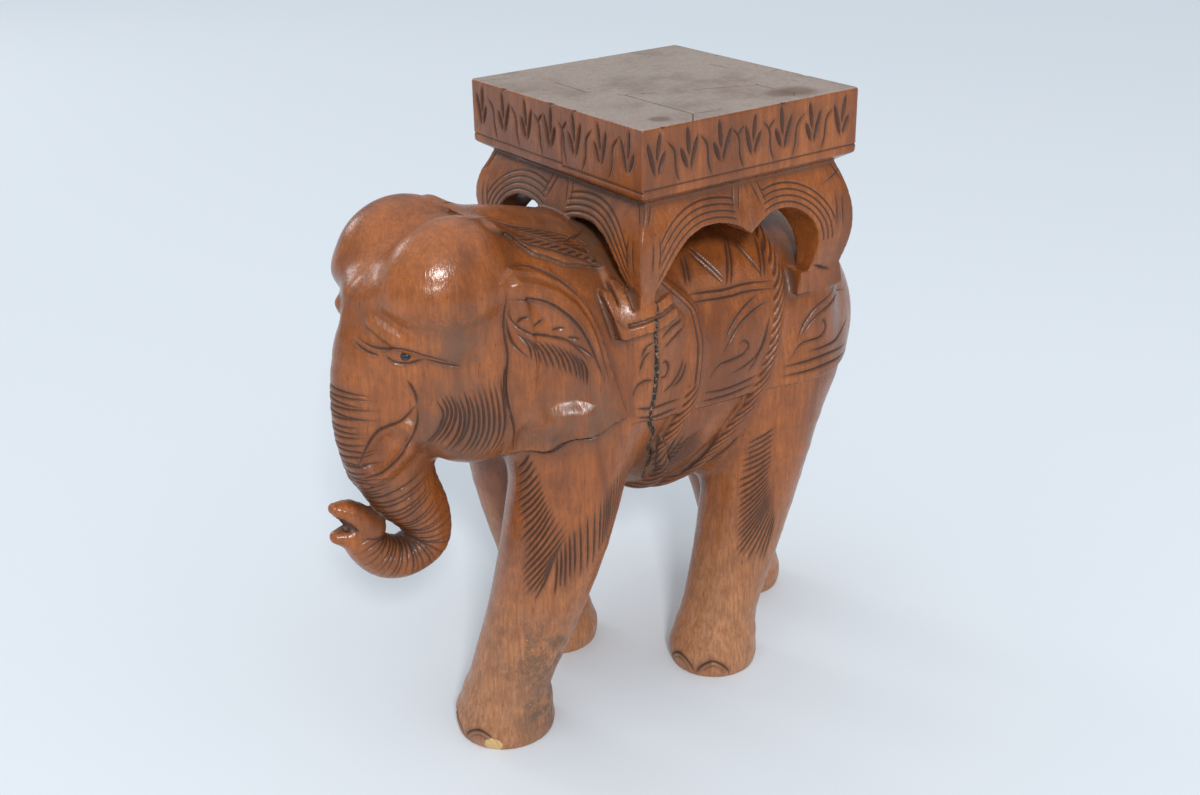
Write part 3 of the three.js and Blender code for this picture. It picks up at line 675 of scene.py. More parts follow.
# %% [markdown]
# ## The block before its strokes
# The first mesh carries every form down to the ropes, the ear and the hem. Relaxing each vertex toward
# its neighbours and sliding it back on to the surface makes the triangles even, and keeps the corners.

# %% Sculpt the block
CELL = 1.9
BLOCK_LOW = np.array([-134.0, -358.0, -3.0])
BLOCK_HIGH = np.array([134.0, 214.0, 566.0])
points, quads = surface_nets(grid_values(carving, BLOCK_LOW, BLOCK_HIGH, CELL), BLOCK_LOW, CELL)
faces = cut_quads(points, quads)
points = settle(points)
for _ in range(2):
    points = settle(mix(points, neighbour_mean(points, faces), 0.5))
print("block", len(points), "vertices", len(faces), "triangles")

# %% [markdown]
# ## Chisel strokes
# All the ornament is cut with a small V gouge: leaves on the top, arcs round the arches, hair on the
# legs, rings on the trunk, wrinkles on the cheek. Texture alone would vanish against the light, so each
# stroke is a real groove. It is a smooth line that is laid on the wood, and the vertices near it sink.

# %% Keep a stroke
STROKES = []
STROKE_STEP = 3.0
FLANK_START = 150.0


def stroke(places, width=1.2, depth=1.0, aim=(0, 0, 0)):
    """Keeps one stroke: the smooth line through its places, its half width and its depth, and the
    direction in which the line is pushed until it meets the wood."""
    places = np.asarray(places, float)
    length = np.linalg.norm(np.diff(places, axis=0), axis=1).sum()
    line = smooth_line(places, max(2, math.ceil(length / STROKE_STEP)))
    STROKES.append((line, np.asarray(aim, float), width, depth))


def flank_stroke(places, width=1.2, depth=1.0):
    """A stroke seen in the side view as y, z places, cut on the left flank and on the right one."""
    for side in (1, -1):
        stroke([(side * FLANK_START, y, z) for y, z in places], width, depth, (-side, 0, 0))


def twin_stroke(places, width=1.2, depth=1.0):
    """A stroke through x, y, z places on the left side, and its mirror on the right one."""
    for side in (1, -1):
        stroke([(side * x, y, z) for x, y, z in places], width, depth)


def comb(rail_a, rail_b, count):
    """The ends of count strokes, spread evenly from one smooth rail to the other."""
    return zip(smooth_line(rail_a, count - 1), smooth_line(rail_b, count - 1))


# %% [markdown]
# ## The band of tulips
# Each side of the top has a row of three-leaved tulips with curved stems between them. They could be one
# stamp, repeated, but no two on the real one are alike. So each leaf is a stroke of its own, a little off
# its place, and a loop over the four sides turns the row to face outward.

# %% Tulips on the four sides of the top
chance = np.random.default_rng(7)
TULIPS = 7
LINE_LEVEL = 511.0
TULIP_FOOT = 521.0
FACE_START = 4.0
LEAF_CUT = (2.6, 2.3)
STEM_CUT = (1.35, 1.5)
LEAVES = (((-8, 18), (-2, 2)), ((-3, 35), (-0.5, 12)), ((8.5, 27), (1.5, 1)))
STEM = ((0, 37), (8, 28), (10, 12), (14, 0.5))


def side_face(turn, half, along_y):
    """Turns a place on a side of the top, as across and up, into x, y, z just outside that side."""
    def place(across, up):
        out = turn * (half + FACE_START)
        return (out, turn * across, up) if along_y else (-turn * across, out, up)
    return place


for turn in (1, -1):
    for along_y, half, width in ((True, HALF_ACROSS, TOP_LENGTH), (False, HALF_ALONG, TOP_WIDTH)):
        place = side_face(turn, half, along_y)
        inward = (-turn, 0, 0) if along_y else (0, -turn, 0)
        pitch = width / TULIPS
        for n in range(TULIPS):
            middle = (n - (TULIPS - 1) / 2) * pitch - 2
            hand = 1 if n % 3 else -1
            for (lean, high), (foot_lean, low) in LEAVES:
                jitter = chance.uniform(-1.2, 1.2, 2)
                tip = place(middle + hand * lean + jitter[0], TULIP_FOOT + high + jitter[1])
                foot = place(middle + hand * foot_lean, TULIP_FOOT + low)
                stroke([foot, mix(np.array(foot), np.array(tip), 0.5), tip], *LEAF_CUT, inward)
            if n == TULIPS - 1:
                continue
            gap = n - (TULIPS - 2) / 2
            hands = (1, -1) if abs(gap) < 1 else (-math.copysign(1, gap),)
            for bend in hands:
                start = middle + pitch / 2 - bend * 7
                places = [(start + bend * across, LINE_LEVEL + up) for across, up in STEM]
                if bend != hands[0]:
                    places = places[:2]
                stroke([place(*p) for p in places], *STEM_CUT, inward)
FRONT_SEAM = ((16, -130, 558), (15.5, -130, 530), (16, -130, 506))
stroke(FRONT_SEAM, 0.8, 0.9, (0, 1, 0))
EDGE_CHIPS = (
    (1, -117, 4), (34, -117, 3), (-71, -117, 3), (125, 30, 3), (125, -96, 2.5), (-125, 20, 4), (60, 117, 4))
for x, y, reach in EDGE_CHIPS:
    along_x = abs(y) == HALF_ALONG
    ends = [(x + s * reach * along_x, y + s * reach * (not along_x), TOP_SURFACE) for s in (-1, 0, 1)]
    stroke(ends, 2.2, 1.4)
print("strokes on the top", len(STROKES))

# %% [markdown]
# ## Pairs of strokes under the top
# Beside the pendant of each apron and down each scroll leg run short strokes in pairs. Places on one half
# of one side are enough, because the other halves and sides mirror them.

# %% Double strokes on the aprons and the scroll legs
APRON_PAIRS = (
    ((6, 496), (14, 474)),
    ((13, 496), (20, 475)),
    ((98, 496), (108, 478)),
    ((105, 495), (112, 479)),
    ((98, 472), (99, 440)),
    ((105, 470), (106, 438)),
)
for turn in (1, -1):
    for side in (1, -1):
        for top, foot in APRON_PAIRS:
            stroke([(turn * 140, side * a, z) for a, z in (top, foot)], 1.2, 1.1, (-turn, 0, 0))
            scale = HALF_ACROSS / HALF_ALONG
            stroke([(side * scale * a, turn * 132, z) for a, z in (top, foot)], 1.2, 1.1, (0, -turn, 0))

# %% [markdown]
# ## What the elephant wears
# The collar is a long leaf with a vein and slanting nicks. The saddle cloth has curls, a zigzag and double
# lines above its hem. The cloth's strokes are drawn in the side view, as on paper, and pushed on to the flank
# from outside, so that they follow its round without a texture map.

# %% Collar and neck
COLLAR_HIGH = ((20, -214, 490), (35, -186, 477), (42, -157, 468), (51, -130, 457), (76, -118, 460))
COLLAR_VEIN = ((34, -205, 486), (44, -182, 474), (52, -160, 463), (60, -138, 453), (74, -118, 449))
COLLAR_LOW = ((46, -212, 486), (56, -184, 468), (64, -156, 455), (74, -130, 444), (98, -118, 438))
for line, width in ((COLLAR_HIGH, 1.4), (COLLAR_VEIN, 1.2), (COLLAR_LOW, 1.7)):
    twin_stroke(line, width, width)
for rail_a, rail_b in ((COLLAR_LOW, COLLAR_VEIN), (COLLAR_VEIN, COLLAR_HIGH)):
    for low, high in comb(rail_a[:4], rail_b[1:], 12):
        twin_stroke([mix(low, high, 0.12), mix(low, high, 0.82)], 1.5, 1.5)
for places in (
    ((54, -138, 457), (40, -114, 459)), ((56, -147, 458), (44, -122, 459)),
    ((85, -134, 423), (99, -132, 406), (114, -121, 389)),
    ((90, -136, 417), (98, -134, 398), (104, -132, 379)),
):
    twin_stroke(places)

# %% The cloth: leaves, curls, the zigzag and the hem's double lines
CLOTH_STROKES = (
    ((22, 391), (1, 383), (-12, 374), (-23, 361)),
    ((32, 383), (10, 378), (-8, 369), (-27, 347)),
    ((-7, 354), (-3, 356), (3, 350), (-2, 344), (-15, 341), (-26, 340), (-33, 336), (-40, 327)),
    ((32, 372), (24, 356), (14, 339), (1, 332), (-19, 327)),
    ((29, 363), (21, 346), (11, 332), (3, 324)),
    ((-44, 315), (-23, 313), (1, 315), (16, 317)),
    ((-46, 306), (-15, 306), (14, 309)),
    ((-63, 388), (-82, 387), (-94, 380)),
    ((-63, 381), (-79, 377), (-91, 371)),
    ((-100, 379), (-108, 374), (-112, 365)),
    ((-103, 371), (-109, 365), (-113, 352)),
    ((-91, 356), (-87, 357), (-83, 350), (-86, 342), (-92, 343)),
    ((-122, 332), (-117, 341), (-108, 344), (-98, 342)),
    ((-65, 355), (-71, 341), (-79, 332), (-88, 327)),
    ((-63, 350), (-68, 336), (-78, 329)),
    ((-120, 323), (-96, 316), (-65, 315)),
    ((-120, 315), (-92, 306), (-67, 306)),
    ((108, 376), (84, 366), (73, 355), (62, 338)),
    ((146, 360), (118, 368), (94, 362), (80, 354), (66, 340)),
    ((90, 348), (92, 352), (96, 344), (90, 337), (67, 335), (51, 323)),
    ((147, 334), (117, 326), (95, 326), (73, 327)),
    ((44, 318), (67, 318), (99, 318), (140, 312)),
    ((42, 309), (70, 309), (100, 309), (142, 304)),
    ((-50, 403), (-30, 402), (-15, 401), (10, 401), (45, 396)),
    ((-50, 397), (-31, 396), (-10, 395), (10, 395), (44, 390)),
    ((13, 434), (-10, 402)), ((17, 434), (-5, 402)),
    ((50, 430), (31, 401)), ((54, 428), (36, 400)),
    ((-38, 430), (-47, 410)), ((-34, 430), (-43, 410)),
    ((-30, 432), (-12, 405)), ((-26, 434), (-9, 408)),
    ((20, 432), (34, 402)),
)
for places in CLOTH_STROKES:
    flank_stroke(places, 1.4, 1.5)

# %% [markdown]
# ## Rings and wrinkles
# The trunk is ringed like a real one: closely on the front of its upper part, and most of the way round
# below the tusk socket. Each ring is an arc round the trunk's middle line, nearly square to it, with a small
# tilt by chance. The cheek's wrinkles change evenly, so only the first and the last are written down.

# %% Rings round the trunk
RING_PITCH = 4.2
LOW_RING_PITCH = 5.2
FIRST_RING = 56.0
FULL_RING_LEVEL = 272.0
trunk_steps = np.linalg.norm(np.diff(TRUNK[:, :3], axis=0), axis=1)
trunk_at = np.concatenate([[0], np.cumsum(trunk_steps)])
ring_places = [FIRST_RING]
while ring_places[-1] < trunk_at[-1] - 10:
    low_on_trunk = np.interp(ring_places[-1], trunk_at, TRUNK[:, 2]) < FULL_RING_LEVEL
    ring_places.append(ring_places[-1] + (LOW_RING_PITCH if low_on_trunk else RING_PITCH))
for at in ring_places:
    centre = np.array([np.interp(at, trunk_at, TRUNK[:, axis]) for axis in range(4)])
    ahead = np.array([np.interp(at + 4, trunk_at, TRUNK[:, axis]) for axis in range(3)])
    lengthways = (ahead - centre[:3]) / np.linalg.norm(ahead - centre[:3])
    forward = -np.cross((1, 0, 0), lengthways)
    least = 115 if centre[2] < FULL_RING_LEVEL else 48
    reach = np.radians(least + 20 * chance.random())
    angles = np.linspace(-reach, reach, 13) + np.radians(chance.uniform(-4, 4))
    tilt = lengthways * chance.uniform(-0.8, 0.8)
    stroke([
        centre[:3] + (centre[3] - 1) * (
            forward * math.cos(a) + np.array((1, 0, 0)) * math.sin(a) / 1.3 + tilt * math.sin(a) / 10)
        for a in angles
    ], 1.45, 1.35)

# %% Wrinkles of the cheek, lids of the eye and the line beside the socket
CHEEK_FIRST = np.array(((60, -277, 356), (65, -274, 345), (62, -277, 332), (47, -283, 313)))
CHEEK_LAST = np.array(((82, -229, 367), (83, -227, 343), (81, -227, 319), (70, -232, 299)))
CHEEK_BOW = np.array((5, -5, 0))
WRINKLES = 14
for n in range(WRINKLES):
    t = n / (WRINKLES - 1)
    line = mix(CHEEK_FIRST, CHEEK_LAST, t) + CHEEK_BOW * math.sin(math.pi * t)
    twin_stroke(line + np.array((0, 0, chance.uniform(-2, 3))), 1.5, 1.5)
HEAD_STROKES = (
    ((15, -322, 408), (28, -315, 401), (38, -306, 398), (50, -298, 400), (60, -285, 395), (70, -262, 385)),
    ((36, -307, 394), (41, -301, 387), (49, -292, 386), (58, -284, 390)),
    ((15, -324, 404), (27, -317, 396), (33, -310, 393)),
    ((58, -284, 391), (66, -271, 385), (72, -258, 382)),
    ((42, -292, 372), (47, -289, 360), (48, -288, 349)),
    ((48, -288, 350), (40, -299, 336), (29, -315, 327), (23, -324, 312), (14, -330, 289)),
    ((48, -288, 349), (48, -290, 331), (42, -302, 308), (28, -318, 289), (13, -329, 281)),
)
for places in HEAD_STROKES:
    twin_stroke(places, 1.4, 1.5)

# %% [markdown]
# ## The ear, the hair and the nails
# Inside the ear's fold lies a curl with a fan of hairs. Coarser hair is cut in long combs on the shoulders,
# the thighs and the belly. A comb is spread between two smooth rails, one for its roots and one for its
# tips. The far legs stand differently, so their combs are carried over by their place beside the leg's axis.
# The nails are small double arches that stand on the ground round the front of each foot.

# %% Folds and hairs of the ear
EAR_STROKES = (
    ((-221, 432), (-219, 417), (-213, 409), (-193, 401), (-177, 394), (-169, 385), (-164, 375)),
    ((-222, 421), (-221, 406), (-219, 396), (-211, 385)),
    ((-217, 414), (-213, 419), (-207, 420)), ((-205, 411), (-193, 415)), ((-189, 405), (-178, 405)),
    ((-177, 397), (-169, 395)), ((-172, 391), (-159, 378)),
)
EAR_LINES = (
    ((-222, 435), (-205, 433), (-191, 428), (-178, 417), (-169, 405), (-162, 390), (-157, 374), (-151, 357)),
    ((-223, 440), (-224, 410), (-225, 379), (-225, 347), (-219, 322), (-215, 297)),
    ((-206, 294), (-190, 293), (-175, 306), (-160, 306), (-147, 315), (-132, 318)),
    [place + (1.5, 1) for place in EAR[1:10]],
)
for places in EAR_STROKES:
    flank_stroke(places, 1.3, 1.4)
for places in EAR_LINES:
    flank_stroke(places, 1.7, 1.7)
FAN_TOP = ((-217, 407), (-210, 403), (-194, 397), (-179, 388), (-169, 380))
FAN_FOOT = ((-210, 383), (-195, 374), (-179, 364), (-169, 357), (-164, 352))
for high, low in comb(FAN_TOP, FAN_FOOT, 12):
    bend = mix(high, low, 0.5) + (2, 1.5)
    flank_stroke([high, bend, low], 1.3, 1.35)

# %% Hair on the legs and under the belly
def on_leg(places, own, other):
    """Takes places on one leg to its fellow: the same height and mirrored offset from that leg's axis."""
    places = np.array(places, float)
    moved = places.copy()
    for axis, sense in ((0, -1), (1, 1)):
        here = np.interp(places[:, 2], own[::-1, 2], own[::-1, axis])
        there = np.interp(places[:, 2], other[::-1, 2], other[::-1, axis])
        moved[:, axis] = there + sense * (places[:, axis] - here)
    return moved


HAIR = (
    (0,
     ((75, -200, 289), (83, -195, 267), (90, -194, 252), (96, -191, 239), (103, -183, 222), (99, -193, 200)),
     ((57, -204, 268), (60, -206, 240), (68, -208, 218), (74, -213, 190), (76, -216, 166), (87, -209, 154)),
     20),
    (0,
     ((103, -106, 276), (108, -122, 271), (111, -139, 259), (111, -151, 245), (106, -177, 226),
      (100, -192, 204)),
     ((96, -100, 236), (101, -120, 222), (104, -137, 200), (103, -150, 184), (103, -176, 168),
      (96, -194, 156)),
     22),
    (2, ((111, 45, 255), (111, 44, 229), (110, 43, 207), (111, 45, 192), (112, 47, 182), (111, 50, 163)),
     ((97, 21, 238), (91, 20, 210), (91, 15, 175), (93, 11, 145), (97, 14, 120), (107, 38, 110)), 24),
)
for leg, rail_a, rail_b, count in HAIR:
    for a, b in comb(rail_a, rail_b, count):
        b = mix(b, a, chance.uniform(0, 0.14))
        line = [a, mix(a, b, 0.5) + (1.5, 0, -1), b]
        stroke(line, 1.35, 1.5)
        stroke(on_leg(line, LEGS[leg], LEGS[leg + 1]), 1.35, 1.5)
BELLY_HAIR = (
    (((99, -33, 272), (95, -30, 262), (93, -27, 250)), ((88, -70, 244), (80, -66, 232), (70, -62, 220)), 8),
    (((97, -79, 282), (98, -60, 275), (99, -44, 268)), ((80, -72, 238), (70, -66, 226), (66, -62, 220)), 6),
)
for rail_a, rail_b, count in BELLY_HAIR:
    for a, b in comb(rail_a, rail_b, count):
        twin_stroke([a, mix(a, b, 0.5) + (1, 0, -1), b], 1.5, 1.5)
for places in (
    ((100, -10, 263), (88, -26, 236), (70, -40, 214)), ((98, 6, 258), (86, -10, 234), (66, -28, 210)),
    ((96, 16, 252), (84, 2, 228), (62, -14, 204)),
):
    twin_stroke(places, 2.0, 1.6)
TAIL_EDGE = ((8.5, 376), (8.5, 300), (8, 224))
BEHIND = 220
for side in (1, -1):
    stroke([(side * x, BEHIND, z) for x, z in TAIL_EDGE], 1.8, 1.6, (0, -1, 0))

# %% Nails, the mouth of the trunk and a slit in the rear toe block
NAIL_TURNS = ((-22, 26), (22, -26), (2, 50), (-2, -50))
NAIL_SPREAD = 23
NAIL_ARCH = ((-1, 1), (-0.8, 9), (-0.35, 16), (0, 18), (0.35, 16), (0.8, 9), (1, 1))
for leg, turns in zip(LEGS, NAIL_TURNS):
    cx, cy, _, radius = leg[-1]
    for turn in turns:
        for size, width, depth in ((1.0, 1.7, 1.6), (0.72, 1.1, 0.8)):
            arch = []
            for share, up in NAIL_ARCH:
                a = math.radians(turn + share * size * NAIL_SPREAD)
                arch.append((cx + radius * math.sin(a), cy - radius * math.cos(a), 1 + up * size))
            stroke(arch, width, depth)
MOUTH = ((-352, 242), (-340, 238), (-331, 233))
for x in (-9, -3, 3, 9):
    stroke([(x, y, z) for y, z in MOUTH], 3.5, 3.0)
TOE_SLIT = ((118, 79, 406), (117, 100, 398))
twin_stroke(TOE_SLIT, 1.6, 1.6)

# %% [markdown]
# ## The drying crack
# The block has split down the left flank, from the scroll leg to the belly. It is damage, and it stays. It
# wanders by chance along its line, and crumbs of wood stand in it, so that it doesn't look ruled.

# %% The long crack down the left flank
CRACK = (
    (115, -95, 413), (119, -96, 404), (119, -100, 390), (118, -98, 365), (115, -97, 345), (115, -99, 328),
    (114, -101, 309), (99, -88, 282), (94, -86, 273), (84, -79, 253), (69, -73, 232), (57, -67, 217),
)
first_crack = len(STROKES)
wander = chance.normal(0, 0.9, (len(CRACK), 3)) * (0.3, 1, 0.3)
stroke(np.array(CRACK) + wander, 2.4, 2.2)
stroke(np.array(CRACK[3:7]) + (0, 3.2, 0), 1.3, 1.2)
print("strokes in all", len(STROKES))

# %% Lay the strokes on the wood
MARCHES = 36


def lay(strokes):
    """Pushes each aimed line along its aim by four fifths of its distance, again and again, then slides all
    places on to the surface. A place that missed the wood is left out."""
    counts = [len(line) for line, *_ in strokes]
    places = np.vstack([line for line, *_ in strokes])
    aims = np.repeat([aim for _, aim, *_ in strokes], counts, axis=0)
    moving = np.flatnonzero(np.abs(aims).sum(1) > 0)
    for _ in range(MARCHES):
        distance = in_batches(carving, places[moving])
        places[moving] += aims[moving] * (0.8 * clamp(distance, -2, 60))[:, None]
    places = settle(places, 4, 4)
    on_wood = np.abs(in_batches(carving, places)) < 1
    ends = np.cumsum(counts)
    laid = []
    for (_, _, width, depth), start, end in zip(strokes, ends - counts, ends):
        line = places[start:end][on_wood[start:end]]
        laid.append((line, width, depth))
    return laid


laid = lay(STROKES)
cracks = laid[first_crack:]
print("laid", sum(len(line) > 1 for line, *_ in laid), "of", len(laid))

# %% How deep the strokes go at each vertex
def stroke_depth(points, laid, grow=0.0):
    """The deepest stroke at each point: depth * taper * (1 - (gap / width)^1.5), gap being the distance to
    the stroke's line and taper the root of a half sine along it, which narrows the stroke as well."""
    order = np.argsort(points[:, 1])
    along_y = points[order, 1]
    deepest = np.zeros(len(points))
    for line, width, depth in laid:
        if len(line) < 2:
            continue
        low, high = line.min(0) - width - grow, line.max(0) + width + grow
        chosen = order[slice(*np.searchsorted(along_y, (low[1], high[1])))]
        near = points[chosen]
        chosen = chosen[((near > low) & (near < high)).all(1)]
        near = points[chosen]
        steps = np.diff(line, axis=0)
        size = np.maximum((steps ** 2).sum(1), 1e-6)
        t = clamp(((near[:, None] - line[:-1]) * steps).sum(2) / size, 0, 1)
        gap = np.linalg.norm(near[:, None] - line[:-1] - t[..., None] * steps, axis=2)
        rows = np.arange(len(near))
        nearest = gap.argmin(1)
        at = (nearest + t[rows, nearest]) / len(steps)
        taper = np.sqrt(np.sin(math.pi * clamp(at, 0.03, 0.97)))
        share = gap[rows, nearest] / (width * (0.4 + 0.6 * taper) + grow)
        cut = depth * taper * (1 - np.minimum(share, 1) ** 1.5)
        deepest[chosen] = np.maximum(deepest[chosen], cut)
    return deepest


# %% [markdown]
# ## Grooves that follow a form
# Three kinds of groove need no line of their own. The arcs on the aprons keep a set distance from the
# arch. The twist of a rope is a wave in the distance along it and across it. The line round the top is
# a level. Each is a formula of the place, so it is measured straight at the vertices.

# %% Arcs, twists and the line round the top
ARC_PITCH = 5.2
ARCS = 4
TWIST_PITCH = 10.5
TWIST_STRETCH = 1.12


def notch(gap, width):
    """A rounded V: 1 on the line, 0 from width away."""
    return 1 - np.minimum(np.abs(gap) / width, 1) ** 1.5


def arcs(points):
    """Grooves at each pitch outside the arch, in the side view on the side aprons and in the front view on
    the other two, kept off the legs and off the pendant in the middle."""
    depth = np.zeros(len(points))
    for across, half, foot in ((1, HALF_ALONG, FOOT_ALONG), (0, HALF_ACROSS, FOOT_ACROSS)):
        u = points[:, across]
        out = np.abs(u)
        facing = np.abs(points[:, 1 - across])
        plane = (HALF_ACROSS if across else HALF_ALONG) - APRON_INSET - 3
        for rear in (False, True):
            shape = REAR_ARCH if rear and across else FRONT_ARCH
            level = REAR_FOOT_LEVEL if rear else FRONT_FOOT_LEVEL
            on_side = (points[:, 1] >= 0) == rear
            chosen = np.flatnonzero(
                on_side & (facing > plane) & (facing < plane + 24)
                & (points[:, 2] > 430) & (points[:, 2] < TOP_UNDERSIDE) & (out < half - 10))
            if not len(chosen):
                continue
            place = points[chosen]
            away = outline_distance(out[chosen], place[:, 2], half_arch(shape, foot, level))
            nth = np.round(away / ARC_PITCH)
            line = notch(away - nth * ARC_PITCH, 1.3) * ((nth >= 1) & (nth <= ARCS))
            ends = ramp(14, 18, out[chosen]) * ramp(half - 18, half - 22, out[chosen])
            depth[chosen] = np.maximum(depth[chosen], 1.1 * line * ends)
    return depth


def rope_twist(points):
    """Slanting grooves on the ropes: a wave in the height plus a share of the place across the rope. The
    upper half of the front rope has two grooves along it instead, between its strands."""
    depth = np.zeros(len(points))
    for line, stranded in ((FRONT_ROPE, True), (REAR_ROPE, False)):
        z = points[:, 2]
        chosen = np.flatnonzero((z > 185) & (z < 436) & (np.abs(points[:, 1] - along(z, line)) < 14))
        place = points[chosen]
        lean = (along(place[:, 2] + 1, line) - along(place[:, 2] - 1, line)) / 2
        aside = (place[:, 1] - along(place[:, 2], line)) / np.sqrt(1 + lean * lean)
        on_rope = ramp(8.5, 6.5, np.abs(aside))
        phase = (place[:, 2] * TWIST_STRETCH - 1.9 * aside) / TWIST_PITCH
        twist = notch((phase - np.round(phase)) * TWIST_PITCH, 3.2)
        strands = np.maximum(notch(aside - 2.6, 1.3), notch(aside + 2.6, 1.3))
        cut = mix(twist, strands, ramp(318, 334, place[:, 2])) if stranded else twist
        depth[chosen] = np.maximum(depth[chosen], 1.15 * cut * on_rope)
    return depth


def top_line(points):
    """A level groove round the four sides of the top. On the front it steps down at the seam."""
    x, y, z = points.T
    outer = np.maximum(np.abs(x) - HALF_ACROSS, np.abs(y) - HALF_ALONG)
    step = 1.8 * ((y < -HALF_ALONG + 2) & (x > 16))
    return 1.0 * notch(z - LINE_LEVEL + step, 1.2) * (outer > -1.5)


def form_depth(points):
    """The deepest of the grooves that follow a form."""
    return np.maximum(np.maximum(arcs(points), rope_twist(points)), top_line(points))


# %% [markdown]
# ## Cutting the grooves
# A groove two millimetres wide needs a finer mesh than the smooth hide does. Only the triangles near a
# groove are divided, and then every vertex sinks along its normal by the depth of the deepest groove there.
# What the wood remembers of this, how deep, how closed in and how near a cut it is, becomes attributes for
# the finish.

# %% Refine round the grooves, then cut them
REFINE_REACH = 1.3 * CELL
busy = (stroke_depth(points, laid, REFINE_REACH) > 0) | (form_depth(points) > 0)
busy |= np.bincount(faces[busy[faces].any(1)].ravel(), minlength=len(points)) > 0
old_count = len(points)
points, faces = refine(points, faces, busy)
points[old_count:] = settle(points[old_count:], 2)
print("busy", int(busy.sum()), "refined to", len(points), "vertices", len(faces), "triangles")

distance, normals = measure(points)
stroke_cut = stroke_depth(points, laid)
crack_cut = stroke_depth(points, cracks)
cut = np.maximum(stroke_cut, form_depth(points))
CRUMB_WAVES = ((2.1, 1.7, 2.9), (-1.3, 2.3, 1.1))
CRUMB_SIZE = 0.9
crumbs = np.sin(points @ CRUMB_WAVES[0]) * np.sin(points @ CRUMB_WAVES[1]) * 0.5 + 0.5
cut = cut - CRUMB_SIZE * crumbs * (crack_cut > 0.7)


# %% Hollows, where dust stays and shade is painted
HOLLOW_REACHES = (5.0, 14.0)
SOIL_REACH = 3.0


def hollow(points, normals, reach):
    """How closed in a place is: 1 less the distance from a point reach off the surface, over reach."""
    return clamp(1 - in_batches(carving, points + normals * reach) / reach, 0, 1)


hollows = sum(hollow(points, normals, reach) for reach in HOLLOW_REACHES) / len(HOLLOW_REACHES)
marks = {
    "groove": clamp(cut / 1.1, 0, 1),
    "hollow": hollows,
    "crack": clamp(crack_cut / 1.6, 0, 1),
    "soil": clamp(stroke_depth(points, laid, SOIL_REACH), 0, 1),
}
points = points - normals * cut[:, None]
print({name: float(mark.mean().round(3)) for name, mark in marks.items()})

# %% Smooth normals of the whole block
corner = points[faces]
wide = np.cross(corner[:, 1] - corner[:, 0], corner[:, 2] - corner[:, 0])
vertex_normals = np.column_stack([
    sum(np.bincount(faces[:, k], wide[:, axis], len(points)) for k in range(3)) for axis in range(3)])
vertex_normals /= np.maximum(np.linalg.norm(vertex_normals, axis=1, keepdims=True), 1e-9)

# %% [markdown]
# ## Eight pieces of one block
# One mesh of the whole block would be too heavy to handle. It is divided where the carving changes
# subject, and once more where a piece would still be too fine. All pieces take their shading normals from
# the joint mesh, so that no seam shows between them. Each is closed with a cap that is meant to lie inside
# the wood. Behind the right foreleg, where a cut runs along a hollow, a little of a cap shows.

# %% Divide the block
SEAT_MARGIN = 1.0
LEG_TOP = 172.0
NAPE = -128.0
JAW_FOOT = 290.0
TRUNK_BACK = -225.0
CURL_FOOT = 165.0
SHOULDER_END = -60.0
SADDLE_FOOT = 310.0
FACE_END = -238.0
TOP_FOOT = 500.0
PIECES = (
    "carved_shoulders", "carved_legs", "carved_ears", "carved_scroll_legs",
    "carved_haunches", "carved_saddle", "carved_face", "carved_top",
)


def region(points):
    """The number of the piece that each place belongs to, in the order of the names."""
    x, y, z = points.T
    kind = np.where(z < LEG_TOP, 1, 0)
    kind[((y < NAPE) & (z > JAW_FOOT)) | ((y < TRUNK_BACK) & (z > CURL_FOOT))] = 2
    kind[(kind == 0) & (y > SHOULDER_END)] = 4
    kind[(kind == 4) & (z > SADDLE_FOOT)] = 5
    kind[(kind == 2) & (y < FACE_END)] = 6
    high = np.flatnonzero(z > SEAT_LOW + 4)
    hx, hy, hz = (np.ascontiguousarray(part[high], np.float32) for part in (x, y, z))
    burden = np.minimum(np.minimum(slab(hx, hy, hz), skirt(hx, hy, hz)), toe_blocks(hx, hy, hz))
    kind[high[burden + SEAT_MARGIN < elephant(hx, hy, hz)]] = 3
    kind[(kind == 3) & (z > TOP_FOOT)] = 7
    return kind


def boundary_loops(faces):
    """Closed loops of vertices along the edges that only one face uses, in the order that caps them."""
    edges = np.vstack([faces[:, [0, 1]], faces[:, [1, 2]], faces[:, [2, 0]]])
    key = edges[:, 0].astype(np.int64) << 32 | edges[:, 1]
    back = edges[:, 1].astype(np.int64) << 32 | edges[:, 0]
    open_edges = edges[~np.isin(key, back)]
    following = {}
    for a, b in open_edges.tolist():
        following.setdefault(b, []).append(a)
    loops = []
    while following:
        start = at = next(iter(following))
        loop = []
        while at in following:
            loop.append(at)
            ways = following[at]
            onward = ways.pop()
            if not ways:
                del following[at]
            at = onward
            if at == start:
                break
        loops.append(loop)
    return loops


